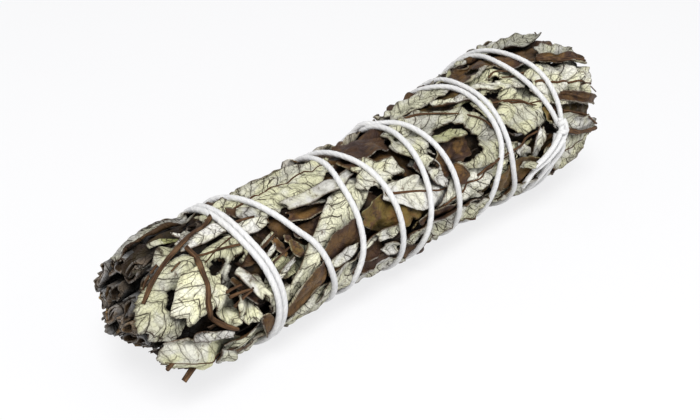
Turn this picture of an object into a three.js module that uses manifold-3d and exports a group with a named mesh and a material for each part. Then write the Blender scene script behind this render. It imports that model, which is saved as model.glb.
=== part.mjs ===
// Yerba santa smudge stick: dried leaves and stems laid side by side, bound with one cotton
// twine that runs down the stick, twice around its near end, and back up to a knot.
// Millimetres, Z up. The stick lies along X, its butt at -X and its leaf tips at +X.
//
// A spot on the bundle is given by x along the stick, an angle in degrees around it
// (0 is the top, 90 the -Y side) and a radius from the stick's own axis.
import * as THREE from 'three';
import Module from 'manifold-3d';
import { mergeVertices } from 'three/addons/utils/BufferGeometryUtils.js';

// Driving dimensions
const BUTT_X = -63;
const TIP_X = 63;
const WAIST_X = -19.5;
const WAIST_RADIUS = 13.5;
const FLARE = 8.3e-4; // radius gained per square millimetre of distance from the waist
const TWINE_DIAMETER = 1.4;
const LEAF_THICKNESS = 0.45;
const GAP = 0.3;
const PRESSED = 0.9; // how far the twine holds the leaves below the bundle's fullest radius
const LEAF_STACK = 4; // depth of the leaves that lie over the inner bundle
const LIFTED_SHARE = 0.85; // how far a thin stack stands out towards the bundle's surface
const BUTT_ROUNDING = { reach: 8, depth: 3 };
const TIP_ROUNDING = { reach: 18, depth: 4.2 };
// The butt is a blunt dome whose foremost place lies off the axis.
const BUTT_DOME = { foremost: -62.5, away: 7.2, angle: 57, curvature: 1 / 32, least: -52.5 };
const LIE_DEGREES = 2.04; // the flared tip end lifts the axis of the lying stick by this angle
// The middle of the stick's axis, over the table; the origin is under the middle of the part's box.
const AXIS_MIDDLE = { x: 0.25, y: 1.25, z: 15.5 };
const MATERIALS = {
  pale: { color: 0xc4c4ae, roughness: 0.85 },
  brown: { color: 0x4a3426, roughness: 0.45 },
  dark: { color: 0x2b2a1c, roughness: 0.85 },
  stem: { color: 0x6b4532, roughness: 0.75 },
  cotton: { color: 0xe6e6e2, roughness: 0.9 },
};

// Outer leaves from the lowest to the topmost: face that shows, x and angle of the leaf's base,
// x and angle of its tip, and its width.
const LEAVES = [
  ['brown', -40.5, -12, 9.9, -6, 13],
  ['brown', -44.1, 38, 0.9, 28, 12],
  ['brown', -38.7, 100, 8.1, 74, 13],
  ['brown', -8.1, 12, 24.3, 52, 14],
  ['brown', 13.5, 0, 47.7, -4, 12],
  ['brown', 22.5, 104, 47.7, 84, 13],
  ['dark', -61.5, 82, -36.9, 108, 8],
  ['brown', -27.9, 150, 13.5, 140, 14],
  ['pale', -31.5, 205, 9.9, 190, 14],
  ['brown', -53, 245, -14, 235, 14],
  ['pale', 9.9, 245, 60.3, 250, 14],
  ['brown', -22.5, 300, 18.9, 308, 13],
  ['pale', -55.5, 140, -21, 130, 13],
  ['pale', 6.3, 128, 58, 136, 13],
  ['pale', -53.5, 190, -18, 200, 14],
  ['brown', 4.5, 190, 58.5, 200, 14],
  ['pale', -26.1, 250, 17.1, 262, 14],
  ['pale', -53, 300, -15, 292, 14],
  ['pale', 13.5, 296, 61.5, 300, 14],
  ['dark', -34, -12, -56.5, -18, 11],
  ['pale', -40.5, -2, -9.9, 2, 11],
  ['pale', -36.9, 108, -62.5, 78, 12],
  ['pale', -35, 46, -58.5, 52, 11],
  ['pale', -24.3, 76, -50.4, 70, 11],
  ['pale', -36.9, 24, -62.8, 38, 13],
  ['brown', -30.6, 45, -13.5, 22, 6.5],
  ['pale', -28.8, 68, -8.1, 34, 9],
  ['pale', -31.5, 21, -6.3, 14, 5],
  ['brown', -39.6, 36, -25.2, 52, 5],
  ['pale', -17.1, 34, 2.7, 42, 10],
  ['brown', -15.3, 62, 7.2, 82, 11],
  ['pale', -6.3, 48, 16.2, 86, 8],
  ['pale', 5.4, 26, 16.2, 68, 5],
  ['pale', 8.1, 84, 33.3, 72, 13],
  ['pale', 7.2, 6, 32.4, 48, 15],
  ['pale', 27.9, 24, 51.3, 58, 13],
  ['pale', 28.8, 10, 49.5, 26, 8],
  ['pale', 38.7, 94, 59.4, 90, 12],
  ['brown', 39.6, 68, 60.3, 80, 9],
  ['pale', 40.5, 38, 63, 56, 11],
  ['brown', 42.3, -6, 62.1, -4, 10],
  ['pale', 38.7, -26, 62.8, -26, 9],
  ['brown', -26.1, 86, -9.9, 54, 8],
];

// Thin stems that lie over the leaves: x and angle along each, and its diameter.
const TWIGS = {
  twig_near_long: { path: [[-38, 2], [-46, 10], [-52, 16], [-57, 25], [-62, 36]], diameter: 1.5 },
  twig_near_bent: { path: [[-47, 30], [-50, 42], [-51, 57], [-48.5, 74], [-45.5, 86]], diameter: 1.1 },
  twig_far_upper: { path: [[40, 22], [48, 25], [55, 31], [61.5, 36]], diameter: 1.5 },
  twig_far_lower: { path: [[40, 66], [48, 74], [54, 81], [60.5, 88]], diameter: 1.3 },
};

// Stems of the sprigs inside: angle and distance from the axis, both ends, and diameter.
const STEMS = {
  stem_centre: { angle: 0, away: 0, from: -58, to: 57, diameter: 3.2 },
  stem_lower: { angle: 95, away: 6.6, from: -61, to: 52, diameter: 2.4 },
  stem_back: { angle: 185, away: 6.4, from: -57, to: 59, diameter: 2.2 },
  stem_upper: { angle: 275, away: 6.4, from: -59, to: 55, diameter: 2.4 },
};
const STEM_SLOT = 3.4; // room between the inner leaves for a stem

// The twine's way from the knot down the stick and back: total angle turned, and x.
const TWINE_DOWN = [
  [-283, 45.2], [-255, 43.2], [-200, 42.6], [-150, 43.4], [-90, 45.5], [-45, 46.6],
  [0, 46.8], [30, 48.1], [60, 47.7], [90, 46.2], [105, 45.5], [160, 44.8], [215, 41.5], [270, 34.5],
  [330, 26.6], [360, 28.3], [390, 28.6], [420, 28.2], [450, 25.6], [475, 24.7], [520, 23.8],
  [580, 19.5], [640, 12], [690, 7.2], [720, 7.2], [750, 6.3], [780, 5.2], [810, 4.3], [835, 3.6],
  [880, 3], [940, -1], [1010, -8.5], [1065, -11], [1080, -11.4], [1110, -13.3], [1140, -14],
  [1170, -14.6], [1185, -15.2], [1225, -15.7], [1260, -16], [1290, -17.6], [1340, -27],
  [1375, -35.5], [1410, -38.2], [1440, -39], [1470, -39], [1500, -37.7], [1530, -36.7],
  [1560, -36.4], [1620, -37.5], [1700, -38.2],
];
const TWINE_BACK = [
  [1770, -36.6], [1800, -37.3], [1830, -37.3], [1860, -36], [1890, -35], [1920, -34.6],
  [1990, -34], [2080, -33], [2145, -32], [2160, -31.3], [2175, -30.4], [2190, -29.2], [2205, -27.7],
  [2220, -25.5], [2235, -24.1], [2250, -23], [2265, -21.8], [2305, -19.5], [2340, -18.6],
  [2370, -16.8], [2430, -11.5], [2490, -7.8], [2520, -6.9], [2550, -5.4], [2580, -4.5],
  [2610, -3.8], [2640, -2.8], [2690, -1.5], [2760, 2.5],
  [2865, 8.6], [2880, 10.1], [2910, 11.6], [2940, 12.6], [2970, 13.4], [3000, 14.8], [3050, 16.8],
  [3120, 23], [3210, 31.3], [3240, 30.3], [3270, 30.4], [3300, 30.1], [3330, 30.9], [3355, 33.6],
  [3420, 36.5], [3500, 41.5], [3585, 43.7], [3600, 42.8], [3630, 43.2], [3645, 44.1], [3660, 45.3],
  [3672, 46.2],
];
const KNOT = { x: 46, angle: 77, size: [3.4, 2.6, 2.2] };
const TAILS = [
  [[45.6, 82], [43, 92], [40.3, 99]],
  [[45.2, 84], [43.6, 97], [42.2, 112]],
];

const TURN = 360;
const { lerp, clamp, degToRad: radians, radToDeg: degrees } = THREE.MathUtils;

// Radius of the bundle, over the leaves, as the twine holds it.
function bundleRadius(x) {
  const full = WAIST_RADIUS + FLARE * (x - WAIST_X) ** 2;
  const butt = clamp(1 - (x - BUTT_X) / BUTT_ROUNDING.reach, 0, 1);
  const tips = clamp(1 - (TIP_X - x) / TIP_ROUNDING.reach, 0, 1);
  return full - PRESSED - BUTT_ROUNDING.depth * butt ** 2 - TIP_ROUNDING.depth * tips ** 1.5;
}

// Where the butt's end face lies, at an angle and a radius.
function buttFace(angle, radius) {
  const { foremost, away, angle: side, curvature, least } = BUTT_DOME;
  const squared = radius ** 2 + away ** 2 - 2 * radius * away * Math.cos(radians(angle - side));
  return Math.min(foremost + squared * curvature, least);
}

function innerRadius(x) {
  return bundleRadius(x) - LEAF_STACK;
}

// A spot on the bundle, as a point in the lying stick's frame.
function spot(x, angle, radius) {
  const turn = radians(angle);
  const point = new THREE.Vector3(x, -radius * Math.sin(turn), radius * Math.cos(turn));
  point.applyAxisAngle(new THREE.Vector3(0, 1, 0), radians(-LIE_DEGREES));
  return point.add(AXIS_MIDDLE);
}

// The greatest radius reached so far, kept over the whole bundle in small cells.
class Cover {
  constructor(step, turnStep) {
    this.step = step;
    this.turnStep = turnStep;
    this.columns = Math.ceil((TIP_X - BUTT_X) / this.step) + 1;
    this.rows = TURN / this.turnStep;
    this.radii = new Float32Array(this.columns * this.rows);
    this.each((x, angle, index) => {
      this.radii[index] = innerRadius(x);
    });
  }

  each(visit) {
    for (let column = 0; column < this.columns; column += 1) {
      for (let row = 0; row < this.rows; row += 1) {
        visit(BUTT_X + column * this.step, row * this.turnStep, column * this.rows + row);
      }
    }
  }

  index(x, angle) {
    const column = clamp(Math.round((x - BUTT_X) / this.step), 0, this.columns - 1);
    const row = ((Math.round(angle / this.turnStep) % this.rows) + this.rows) % this.rows;
    return column * this.rows + row;
  }

  // Greatest radius within a reach of cells around a spot.
  highest(x, angle, reach = 1) {
    let top = 0;
    for (let column = -reach; column <= reach; column += 1) {
      for (let row = -reach; row <= reach; row += 1) {
        const index = this.index(x + column * this.step, angle + row * this.turnStep);
        top = Math.max(top, this.radii[index]);
      }
    }
    return top;
  }

  raise(x, angle, radius) {
    const index = this.index(x, angle);
    this.radii[index] = Math.max(this.radii[index], radius);
  }

  // The cover with its steps rounded off, for lifting each stack of leaves to the bundle's surface.
  rounded(reach) {
    const raised = this.radii.map(() => 0);
    const average = this.radii.map(() => 0);
    this.each((x, angle, index) => {
      raised[index] = this.highest(x, angle, reach);
    });
    this.each((x, angle, index) => {
      let sum = 0;
      for (let column = -reach; column <= reach; column += 1) {
        for (let row = -reach; row <= reach; row += 1) {
          sum += raised[this.index(x + column * this.step, angle + row * this.turnStep)];
        }
      }
      average[index] = sum / (2 * reach + 1) ** 2;
    });
    return average;
  }
}

// A mesh's geometry from its corner points and triangles, turned so that its faces point out.
function closedBody(points, triangles) {
  let volume = 0;
  for (const [a, b, c] of triangles) {
    volume += points[a].dot(points[b].clone().cross(points[c]));
  }
  const outward = volume > 0 ? triangles : triangles.map(([a, b, c]) => [a, c, b]);
  const geometry = new THREE.BufferGeometry().setFromPoints(points);
  geometry.setIndex(outward.flat());
  geometry.computeVertexNormals();
  return geometry;
}

// A closed tube through rings of points that all have the same number of corners.
function ringsBody(rings) {
  const sides = rings[0].length;
  const triangles = [];
  for (let ring = 0; ring < rings.length - 1; ring += 1) {
    for (let side = 0; side < sides; side += 1) {
      const a = ring * sides + side;
      const b = ring * sides + (side + 1) % sides;
      triangles.push([a, b, a + sides], [b, b + sides, a + sides]);
    }
  }
  const last = (rings.length - 1) * sides;
  for (let side = 1; side < sides - 1; side += 1) {
    triangles.push([0, side + 1, side], [last, last + side, last + side + 1]);
  }
  return closedBody(rings.flat(), triangles);
}

// Rings of a tube that follows spots on the bundle; its cross-section stands on the surface.
function tubeRings(spots, diameterAt, sides, floor = -Infinity) {
  const centres = spots.map(([x, angle, radius]) => spot(x, angle, radius));
  return centres.map((centre, index) => {
    const before = centres[Math.max(index - 1, 0)];
    const after = centres[Math.min(index + 1, centres.length - 1)];
    const along = after.clone().sub(before).normalize();
    const [x, angle, radius] = spots[index];
    const out = spot(x, angle, radius + 1).sub(centre);
    out.addScaledVector(along, -out.dot(along)).normalize();
    const across = along.clone().cross(out);
    const half = diameterAt(index / (centres.length - 1)) / 2;
    return Array.from({ length: sides }, (_, side) => {
      const turn = (2 * Math.PI * side) / sides;
      const point = centre.clone();
      point.addScaledVector(out, half * Math.cos(turn)).addScaledVector(across, half * Math.sin(turn));
      point.z = Math.max(point.z, floor);
      return point;
    });
  });
}

function tube(spots, diameterAt, sides, floor) {
  return ringsBody(tubeRings(spots, diameterAt, sides, floor));
}

// A smooth run of spots through a few given ones.
const MM_PER_DEGREE = 0.25; // around the bundle's surface, about
function smoothPath(route, count) {
  const points = route.map(([x, angle]) => new THREE.Vector3(x, angle * MM_PER_DEGREE, 0));
  const curve = new THREE.CatmullRomCurve3(points);
  return curve.getSpacedPoints(count).map((point) => [point.x, point.y / MM_PER_DEGREE]);
}

const COVER_STEP = 1; // cell of the cover along the stick
const COVER_TURN = 3; // and around it, in degrees
const SIDE_REACH = 3; // cells of the cover on each side that something round can touch
const cover = new Cover(COVER_STEP, COVER_TURN);

// Half the width of a leaf, from its base at 0 to its tip at 1, as a share of its greatest width.
const BLUNT_END = 0.18;
const BROADEST_EARLY = 0.8; // under 1, the leaf is broadest before its middle
const FULLNESS = 0.7; // lower is fuller
function leafOutline(along) {
  return Math.max(BLUNT_END, Math.sin(Math.PI * along ** BROADEST_EARLY) ** FULLNESS) / 2;
}

const LEAF_CELL = 4.5; // length of a leaf's cell
const NARROW_LEAF = 7; // widest leaf that has only two cells across
const SAMPLE_SHARE = 0.125; // of a cell, between the places where a leaf is held off what is below
const SETTLING_ROUNDS = 30;
const SETTLING_SHARE = 0.8;

// Lays a leaf on what is already there. Returns its grid of spots with the radii of its inner face.
function layLeaf([, baseX, baseAngle, tipX, tipAngle, width]) {
  const radius = bundleRadius((baseX + tipX) / 2);
  const run = tipX - baseX;
  const rise = radians(tipAngle - baseAngle) * radius;
  const length = Math.hypot(run, rise);
  const lengthCells = Math.max(4, Math.round(length / LEAF_CELL));
  const widthCells = width > NARROW_LEAF ? 4 : 2;
  const at = (along, across) => {
    const aside = (across - 0.5) * 2 * width * leafOutline(along);
    const x = clamp(baseX + run * along - (rise / length) * aside, BUTT_X, TIP_X);
    const turnAside = degrees(((run / length) * aside) / radius);
    return [x, lerp(baseAngle, tipAngle, along) + turnAside];
  };
  const grid = [];
  for (let i = 0; i <= lengthCells; i += 1) {
    for (let j = 0; j <= widthCells; j += 1) {
      const [x, angle] = at(i / lengthCells, j / widthCells);
      grid.push({ x, angle, inner: 0 });
    }
  }
  const samples = [];
  for (let i = 0; i < lengthCells; i += 1) {
    for (let j = 0; j < widthCells; j += 1) {
      const corner = (di, dj) => grid[(i + di) * (widthCells + 1) + j + dj];
      const angles = [corner(0, 0), corner(1, 0), corner(0, 1), corner(1, 1)].map((each) => each.angle);
      const span = radians(Math.max(...angles) - Math.min(...angles));
      const sag = radius * (1 - Math.cos(span / 2));
      for (let s = 0; s <= 1; s += SAMPLE_SHARE) {
        for (let t = 0; t <= 1; t += SAMPLE_SHARE) {
          const side = s >= t ? corner(1, 0) : corner(0, 1);
          const corners = [corner(0, 0), side, corner(1, 1)];
          const weights = [1 - Math.max(s, t), Math.abs(s - t), Math.min(s, t)];
          const [x, angle] = at((i + s) / lengthCells, (j + t) / widthCells);
          samples.push({ corners, weights, x, angle, least: cover.highest(x, angle) + sag + GAP });
        }
      }
    }
  }
  const innerAt = ({ corners, weights }) => {
    return corners.reduce((sum, each, k) => sum + each.inner * weights[k], 0);
  };
  for (const { corners, least } of samples) {
    for (const each of corners) {
      each.inner = Math.max(each.inner, least);
    }
  }
  for (let round = 0; round < SETTLING_ROUNDS; round += 1) {
    for (const each of grid) {
      each.slack = Infinity;
    }
    for (const sample of samples) {
      const slack = innerAt(sample) - sample.least;
      for (const each of sample.corners) {
        each.slack = Math.min(each.slack, slack);
      }
    }
    for (const each of grid) {
      each.inner -= SETTLING_SHARE * Math.max(0, each.slack);
    }
  }
  for (const sample of samples) {
    cover.raise(sample.x, sample.angle, innerAt(sample) + LEAF_THICKNESS);
  }
  return { grid, lengthCells, widthCells };
}

// The closed sheet of a laid leaf, pressed with the stack that it is in.
function leafBody({ grid, lengthCells, widthCells }) {
  const inner = grid.map(({ x, angle, inner: radius }) => spot(x, angle, pressed(x, angle, radius)));
  const outer = grid.map(({ x, angle, inner: radius }) => {
    return spot(x, angle, pressed(x, angle, radius + LEAF_THICKNESS));
  });
  const size = grid.length;
  const at = (i, j) => i * (widthCells + 1) + j;
  const triangles = [];
  const quad = (a, b, c, d) => triangles.push([a, b, c], [a, c, d]);
  for (let i = 0; i < lengthCells; i += 1) {
    for (let j = 0; j < widthCells; j += 1) {
      quad(size + at(i, j), size + at(i, j + 1), size + at(i + 1, j + 1), size + at(i + 1, j));
      quad(at(i, j), at(i + 1, j), at(i + 1, j + 1), at(i, j + 1));
    }
  }
  const wall = (a, b) => quad(a, b, size + b, size + a);
  for (let i = 0; i < lengthCells; i += 1) {
    wall(at(i + 1, 0), at(i, 0));
    wall(at(i, widthCells), at(i + 1, widthCells));
  }
  for (let j = 0; j < widthCells; j += 1) {
    wall(at(0, j), at(0, j + 1));
    wall(at(lengthCells, j + 1), at(lengthCells, j));
  }
  return closedBody([...inner, ...outer], triangles);
}

// A folded leaf inside the bundle: a quarter of the ring around the centre stem, half as long
// as the stick, with room along both its sides for a stem.
const INNER_SECTIONS = 8; // cells along an inner leaf
const INNER_STEPS = 5; // and across its outer side
const CENTRE_ROOM = 3.4; // radius kept clear around the centre stem
function innerLeafBody(startAngle, fromX, toX) {
  const besideStem = (radius) => degrees(Math.asin(STEM_SLOT / 2 / radius));
  const rings = [];
  for (let section = 0; section <= INNER_SECTIONS; section += 1) {
    const share = section / INNER_SECTIONS;
    const evenX = lerp(fromX, toX, share);
    const ring = [];
    const outerRadius = innerRadius(evenX) - GAP;
    for (const [radius, steps, sense] of [[outerRadius, INNER_STEPS, 1], [CENTRE_ROOM, 1, -1]]) {
      const first = startAngle + besideStem(radius);
      const last = startAngle + TURN / 4 - besideStem(radius);
      for (let step = 0; step <= steps; step += 1) {
        const angle = lerp(first, last, sense > 0 ? step / steps : 1 - step / steps);
        const x = Math.max(evenX, lerp(buttFace(angle, radius), toX, share));
        ring.push(spot(x, angle, radius));
      }
    }
    rings.push(ring);
  }
  return ringsBody(rings);
}

const stick = new THREE.Group();
function add(name, geometry, material) {
  const look = new THREE.MeshStandardMaterial({ ...MATERIALS[material], metalness: 0 });
  const mesh = new THREE.Mesh(geometry, look);
  mesh.name = name;
  stick.add(mesh);
}

// Inside: the sprigs' stems and the folded leaves around them.
const STEM_SIDES = 8;
const STEM_SECTIONS = 8;
const STEM_TAPER = 0.3; // share of its diameter that a stem loses towards its tip
function stemTube(spots, diameter) {
  return tube(spots, (along) => diameter * (1 - STEM_TAPER * along), STEM_SIDES);
}
for (const [name, { angle, away, from, to, diameter }] of Object.entries(STEMS)) {
  const path = [];
  for (let section = 0; section <= STEM_SECTIONS; section += 1) {
    path.push([lerp(from, to, section / STEM_SECTIONS), angle, away]);
  }
  add(name, stemTube(path, diameter), 'stem');
}
const FIRST_INNER_ANGLE = 5;
const MIDDLE = { near: [-2, -5, 1, -4], far: [0, -3, 3, -2] }; // where the halves end, by quarter
const INNER_TIPS = [55, 57, 54, 58];
for (let quarter = 0; quarter < INNER_TIPS.length; quarter += 1) {
  const start = FIRST_INNER_ANGLE + (quarter * TURN) / INNER_TIPS.length;
  const near = innerLeafBody(start, BUTT_X, MIDDLE.near[quarter]);
  const far = innerLeafBody(start, MIDDLE.far[quarter], INNER_TIPS[quarter]);
  add(`inner_leaf_near_${quarter + 1}`, near, 'dark');
  add(`inner_leaf_far_${quarter + 1}`, far, 'dark');
}

// Around them: the outer leaves. The twine presses every stack of them to the bundle's round surface.
const ROUNDING_REACH = 5; // cells of the cover over which the stacks' steps are rounded off
const laidLeaves = LEAVES.map(layLeaf);
const roundedCover = cover.rounded(ROUNDING_REACH);
function pressed(x, angle, radius) {
  const base = innerRadius(x);
  const stack = roundedCover[cover.index(x, angle)] - base;
  if (stack > LEAF_STACK) {
    return base + ((radius - base) * LEAF_STACK) / stack;
  }
  return radius + LIFTED_SHARE * (LEAF_STACK - stack);
}
laidLeaves.forEach((laid, index) => {
  add(`leaf_${String(index + 1).padStart(2, '0')}`, leafBody(laid), LEAVES[index][0]);
});
cover.each((x, angle, index) => {
  cover.radii[index] = pressed(x, angle, cover.radii[index]);
});

// Over the leaves: the twigs. A round thing rests on the highest leaves along its way.
function restingSpots(way, diameter, gap) {
  const under = way.map(([x, angle]) => cover.highest(x, angle, SIDE_REACH));
  const near = (list, index, reach) => list.slice(Math.max(0, index - reach), index + reach + 1);
  const raised = under.map((_, index) => Math.max(...near(under, index, 1)));
  return way.map(([x, angle], index) => {
    const around = near(raised, index, 1);
    const rest = around.reduce((sum, value) => sum + value, 0) / around.length;
    return [x, angle, Math.max(rest, under[index]) + gap + diameter / 2];
  });
}
const TWIG_SECTIONS = 12;
const laidTwigs = Object.entries(TWIGS).map(([name, { path, diameter }]) => {
  return { name, diameter, spots: restingSpots(smoothPath(path, TWIG_SECTIONS), diameter, GAP) };
});
for (const { name, spots, diameter } of laidTwigs) {
  add(name, stemTube(spots, diameter), 'stem');
  spots.slice(1).forEach(([x, angle, radius], index) => {
    const [beforeX, beforeAngle, beforeRadius] = spots[index];
    const top = Math.max(radius, beforeRadius) + diameter / 2;
    for (let share = 0; share <= 1; share += 0.2) {
      for (const aside of [-COVER_TURN, 0, COVER_TURN]) {
        cover.raise(lerp(beforeX, x, share), lerp(beforeAngle, angle, share) + aside, top);
      }
    }
  });
}

// The twine's path in even turns, lying on the highest leaves under it.
const TWINE_STEPS = 20; // in one turn
const TWINE_SIDES = 7;
const TWINE_GAP = 0.45;
const FINE_STEPS = 12; // of the route's curve, between two of its spots
function twinePath(route) {
  const firstTurned = route[0][0];
  const lastTurned = route.at(-1)[0];
  const points = route.map(([turned, x]) => new THREE.Vector3(turned, x, 0));
  const curve = new THREE.CatmullRomCurve3(points, false, 'centripetal');
  const fine = curve.getPoints(route.length * FINE_STEPS);
  const count = Math.round(((lastTurned - firstTurned) * TWINE_STEPS) / TURN);
  return Array.from({ length: count + 1 }, (_, step) => {
    const turned = lerp(firstTurned, lastTurned, step / count);
    const next = Math.max(1, fine.findIndex((point) => point.x >= turned - 1e-6));
    const share = clamp((turned - fine[next - 1].x) / (fine[next].x - fine[next - 1].x), 0, 1);
    return { turned, x: lerp(fine[next - 1].y, fine[next].y, share) };
  });
}
const twine = twinePath([...TWINE_DOWN, ...TWINE_BACK]);
const turnAround = TWINE_BACK[0][0];
const CLIMB = { from: 3.2, over: 1.6 }; // distance at which the twine starts to climb, and its run
// Where the twine coming back meets the twine going down, it rides over it.
function crossingLift({ turned, x }) {
  if (turned < turnAround) {
    return 0;
  }
  let nearest = Infinity;
  for (const other of twine) {
    const apartTurned = Math.abs(((turned - other.turned) % TURN + TURN * 1.5) % TURN - TURN / 2);
    if (other.turned < turnAround && apartTurned < TURN / TWINE_STEPS) {
      nearest = Math.min(nearest, Math.abs(x - other.x));
    }
  }
  return (TWINE_DIAMETER + GAP) * clamp((CLIMB.from - nearest) / CLIMB.over, 0, 1);
}
const twineRest = restingSpots(twine.map(({ x, turned }) => [x, turned]), TWINE_DIAMETER, TWINE_GAP);
const twineSpots = twineRest.map(([x, turned, radius], index) => {
  return [x, turned, radius + crossingLift(twine[index])];
});
const strand = (spots) => tube(spots, () => TWINE_DIAMETER, TWINE_SIDES, 0);

// The twine, its knot and its two loose ends are one piece.
const wasm = await Module();
wasm.setup();
function solid(geometry) {
  const bare = geometry.clone().toNonIndexed();
  bare.deleteAttribute('normal');
  bare.deleteAttribute('uv');
  const merged = mergeVertices(bare, 1e-5);
  const vertProperties = new Float32Array(merged.attributes.position.array);
  const triVerts = new Uint32Array(merged.index.array);
  return new wasm.Manifold(new wasm.Mesh({ numProp: 3, vertProperties, triVerts }));
}
function fromSolid(manifold) {
  const mesh = manifold.getMesh();
  const geometry = new THREE.BufferGeometry();
  geometry.setAttribute('position', new THREE.BufferAttribute(mesh.vertProperties, 3));
  geometry.setIndex(new THREE.BufferAttribute(mesh.triVerts, 1));
  geometry.computeVertexNormals();
  return geometry;
}
const restAt = (x, angle) => cover.highest(x, angle, SIDE_REACH) + TWINE_GAP;
const knotShape = new THREE.SphereGeometry(0.5, 9, 6).scale(...KNOT.size);
const knotCentre = spot(KNOT.x, KNOT.angle, restAt(KNOT.x, KNOT.angle) + KNOT.size[2] / 2);
knotShape.rotateX(radians(KNOT.angle)).translate(...knotCentre.toArray());
let twineSolid = solid(strand(twineSpots)).add(solid(knotShape));
const TAIL_SECTIONS = 6;
for (const tail of TAILS) {
  const way = smoothPath(tail, TAIL_SECTIONS);
  const height = Math.max(...way.map(([x, angle]) => restAt(x, angle))) + TWINE_DIAMETER;
  const lowered = way.map(([x, angle]) => [x, angle, height - 0.2 * TWINE_DIAMETER]);
  const insideKnot = [tail[0][0] + 0.8, tail[0][1] - 4, height];
  twineSolid = twineSolid.add(solid(strand([insideKnot, ...lowered])));
}
add('twine', fromSolid(twineSolid), 'cotton');

export default stick;
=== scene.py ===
"""Yerba santa smudge stick: dried leaves and stems laid side by side and bound with cotton twine.

Lengths below are millimetres until the meshes are made, in metres. A spot on the bundle is x along
the stick, an angle in degrees around it (0 is the top, 90 the -Y side) and a radius from its axis.
"""
from math import cos, hypot, pi, radians, sin, sqrt

import bpy
import numpy as np
from mathutils import Matrix, Vector


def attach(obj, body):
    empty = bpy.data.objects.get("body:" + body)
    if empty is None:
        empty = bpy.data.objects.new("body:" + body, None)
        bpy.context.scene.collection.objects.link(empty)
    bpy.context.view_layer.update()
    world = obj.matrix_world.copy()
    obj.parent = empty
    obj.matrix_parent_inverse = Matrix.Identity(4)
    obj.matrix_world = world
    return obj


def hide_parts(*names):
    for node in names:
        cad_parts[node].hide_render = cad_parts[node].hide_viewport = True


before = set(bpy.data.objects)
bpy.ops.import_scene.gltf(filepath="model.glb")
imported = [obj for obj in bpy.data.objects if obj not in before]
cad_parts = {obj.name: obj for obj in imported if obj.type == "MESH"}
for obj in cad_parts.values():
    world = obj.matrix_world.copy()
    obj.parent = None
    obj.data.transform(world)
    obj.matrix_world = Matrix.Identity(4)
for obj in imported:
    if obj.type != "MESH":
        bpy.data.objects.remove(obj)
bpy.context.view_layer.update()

MM = 0.001
BUTT_X, GRID_END = -63.0, 67.0
WAIST_X, WAIST_RADIUS, FLARE = -19.5, 13.2, 8.3e-4
LIE = radians(2.04)  # the flared tip end lifts the axis of the lying stick by this angle
AXIS_MIDDLE = np.array([0.25, 1.25, 15.3])
LEAF_STACK = 4.0  # depth of the leaves over the rolled ones inside
LEAF_THICKNESS = 0.3
TWINE_RADIUS = 0.6
MEAN_RADIUS = 14  # of the twine's turns, for distances around the bundle
DOME_X, DOME_RADIUS = -61.5, 13  # the butt's face: where it stands out most, and its radius
SCOOP_DEPTH, SCOOP_RADIUS, SCOOP_WIDTH = 3, 6.3, 3  # the dent in its lower side


# The bundle's shape ----------------------------------------

def smooth_through(knots, values, wanted):
    """Values between given ones, on a smooth curve through them."""
    knots, values = np.asarray(knots, float), np.asarray(values, float)
    slopes = np.gradient(values, knots)
    place = np.clip(np.searchsorted(knots, wanted) - 1, 0, len(knots) - 2)
    gap = knots[place + 1] - knots[place]
    t = (wanted - knots[place]) / gap
    return ((2 * t ** 3 - 3 * t ** 2 + 1) * values[place] + (3 * t ** 2 - 2 * t ** 3) * values[place + 1]
            + (t ** 3 - 2 * t ** 2 + t) * gap * slopes[place] + (t ** 3 - t ** 2) * gap * slopes[place + 1])


# Angle, and the x where the outer leaves end at the butt.
BUTT_EDGE = [(-35, -55), (-10, -55.8), (8, -55.2), (20, -56), (32, -60), (45, -61.8), (75, -61.5),
             (95, -59.2), (118, -53.4), (140, -48.2), (180, -46), (220, -48.8), (250, -53), (270, -54.4),
             (290, -54.8), (310, -54.8), (325, -55)]


def butt_edge(angle):
    knots, values = zip(*BUTT_EDGE)
    return smooth_through(knots, values, (np.asarray(angle, float) - knots[0]) % 360 + knots[0])


def bundle_radius(x, angle):
    """Radius over the leaves: rounded at the butt, sagging at the waist, leaning back at the tips."""
    full = WAIST_RADIUS + FLARE * (x - WAIST_X) ** 2
    butt = np.clip(1 - (x - butt_edge(angle)) / 7, 0, 1)
    tips = np.maximum(x - 48, 0)
    lean = 0.03 * np.maximum(x - 20, 0) - 0.9 * np.exp(-((x - 1) / 10) ** 2)
    rounding = 2.2 - 1.3 * np.clip(np.cos(np.radians(angle + 30)), 0, 1) ** 4
    return full - rounding * butt ** 2 - 0.011 * tips ** 2 + lean * np.cos(np.radians(angle + 41))


def base_radius(x, angle):
    return bundle_radius(x, angle) - LEAF_STACK


def butt_face(angle, radius):
    """x of the butt's slanting dome of leaf ends."""
    bulge = 1.6 - 0.6 * np.clip(np.cos(np.radians(angle - 175)), 0, 1)
    lower_side = np.clip(np.cos(np.radians(angle - 115)), 0, 1) ** 2
    scoop = SCOOP_DEPTH * np.exp(-((radius - SCOOP_RADIUS) / SCOOP_WIDTH) ** 2) * lower_side
    return DOME_X + (butt_edge(angle) - DOME_X) * (radius / DOME_RADIUS) ** bulge + scoop


def lie(points):
    """Turns points or directions from the stick's own frame into the lying stick's."""
    x, y, z = points[..., 0], points[..., 1], points[..., 2]
    return np.stack([x * cos(LIE) - z * sin(LIE), y, x * sin(LIE) + z * cos(LIE)], -1)


def spot(x, angle, radius):
    turn = np.radians(angle)
    x, turn, radius = np.broadcast_arrays(x, turn, radius)
    return lie(np.stack([x, -radius * np.sin(turn), radius * np.cos(turn)], -1)) + AXIS_MIDDLE


# Camera, light and floor ----------------------------------------

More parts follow.
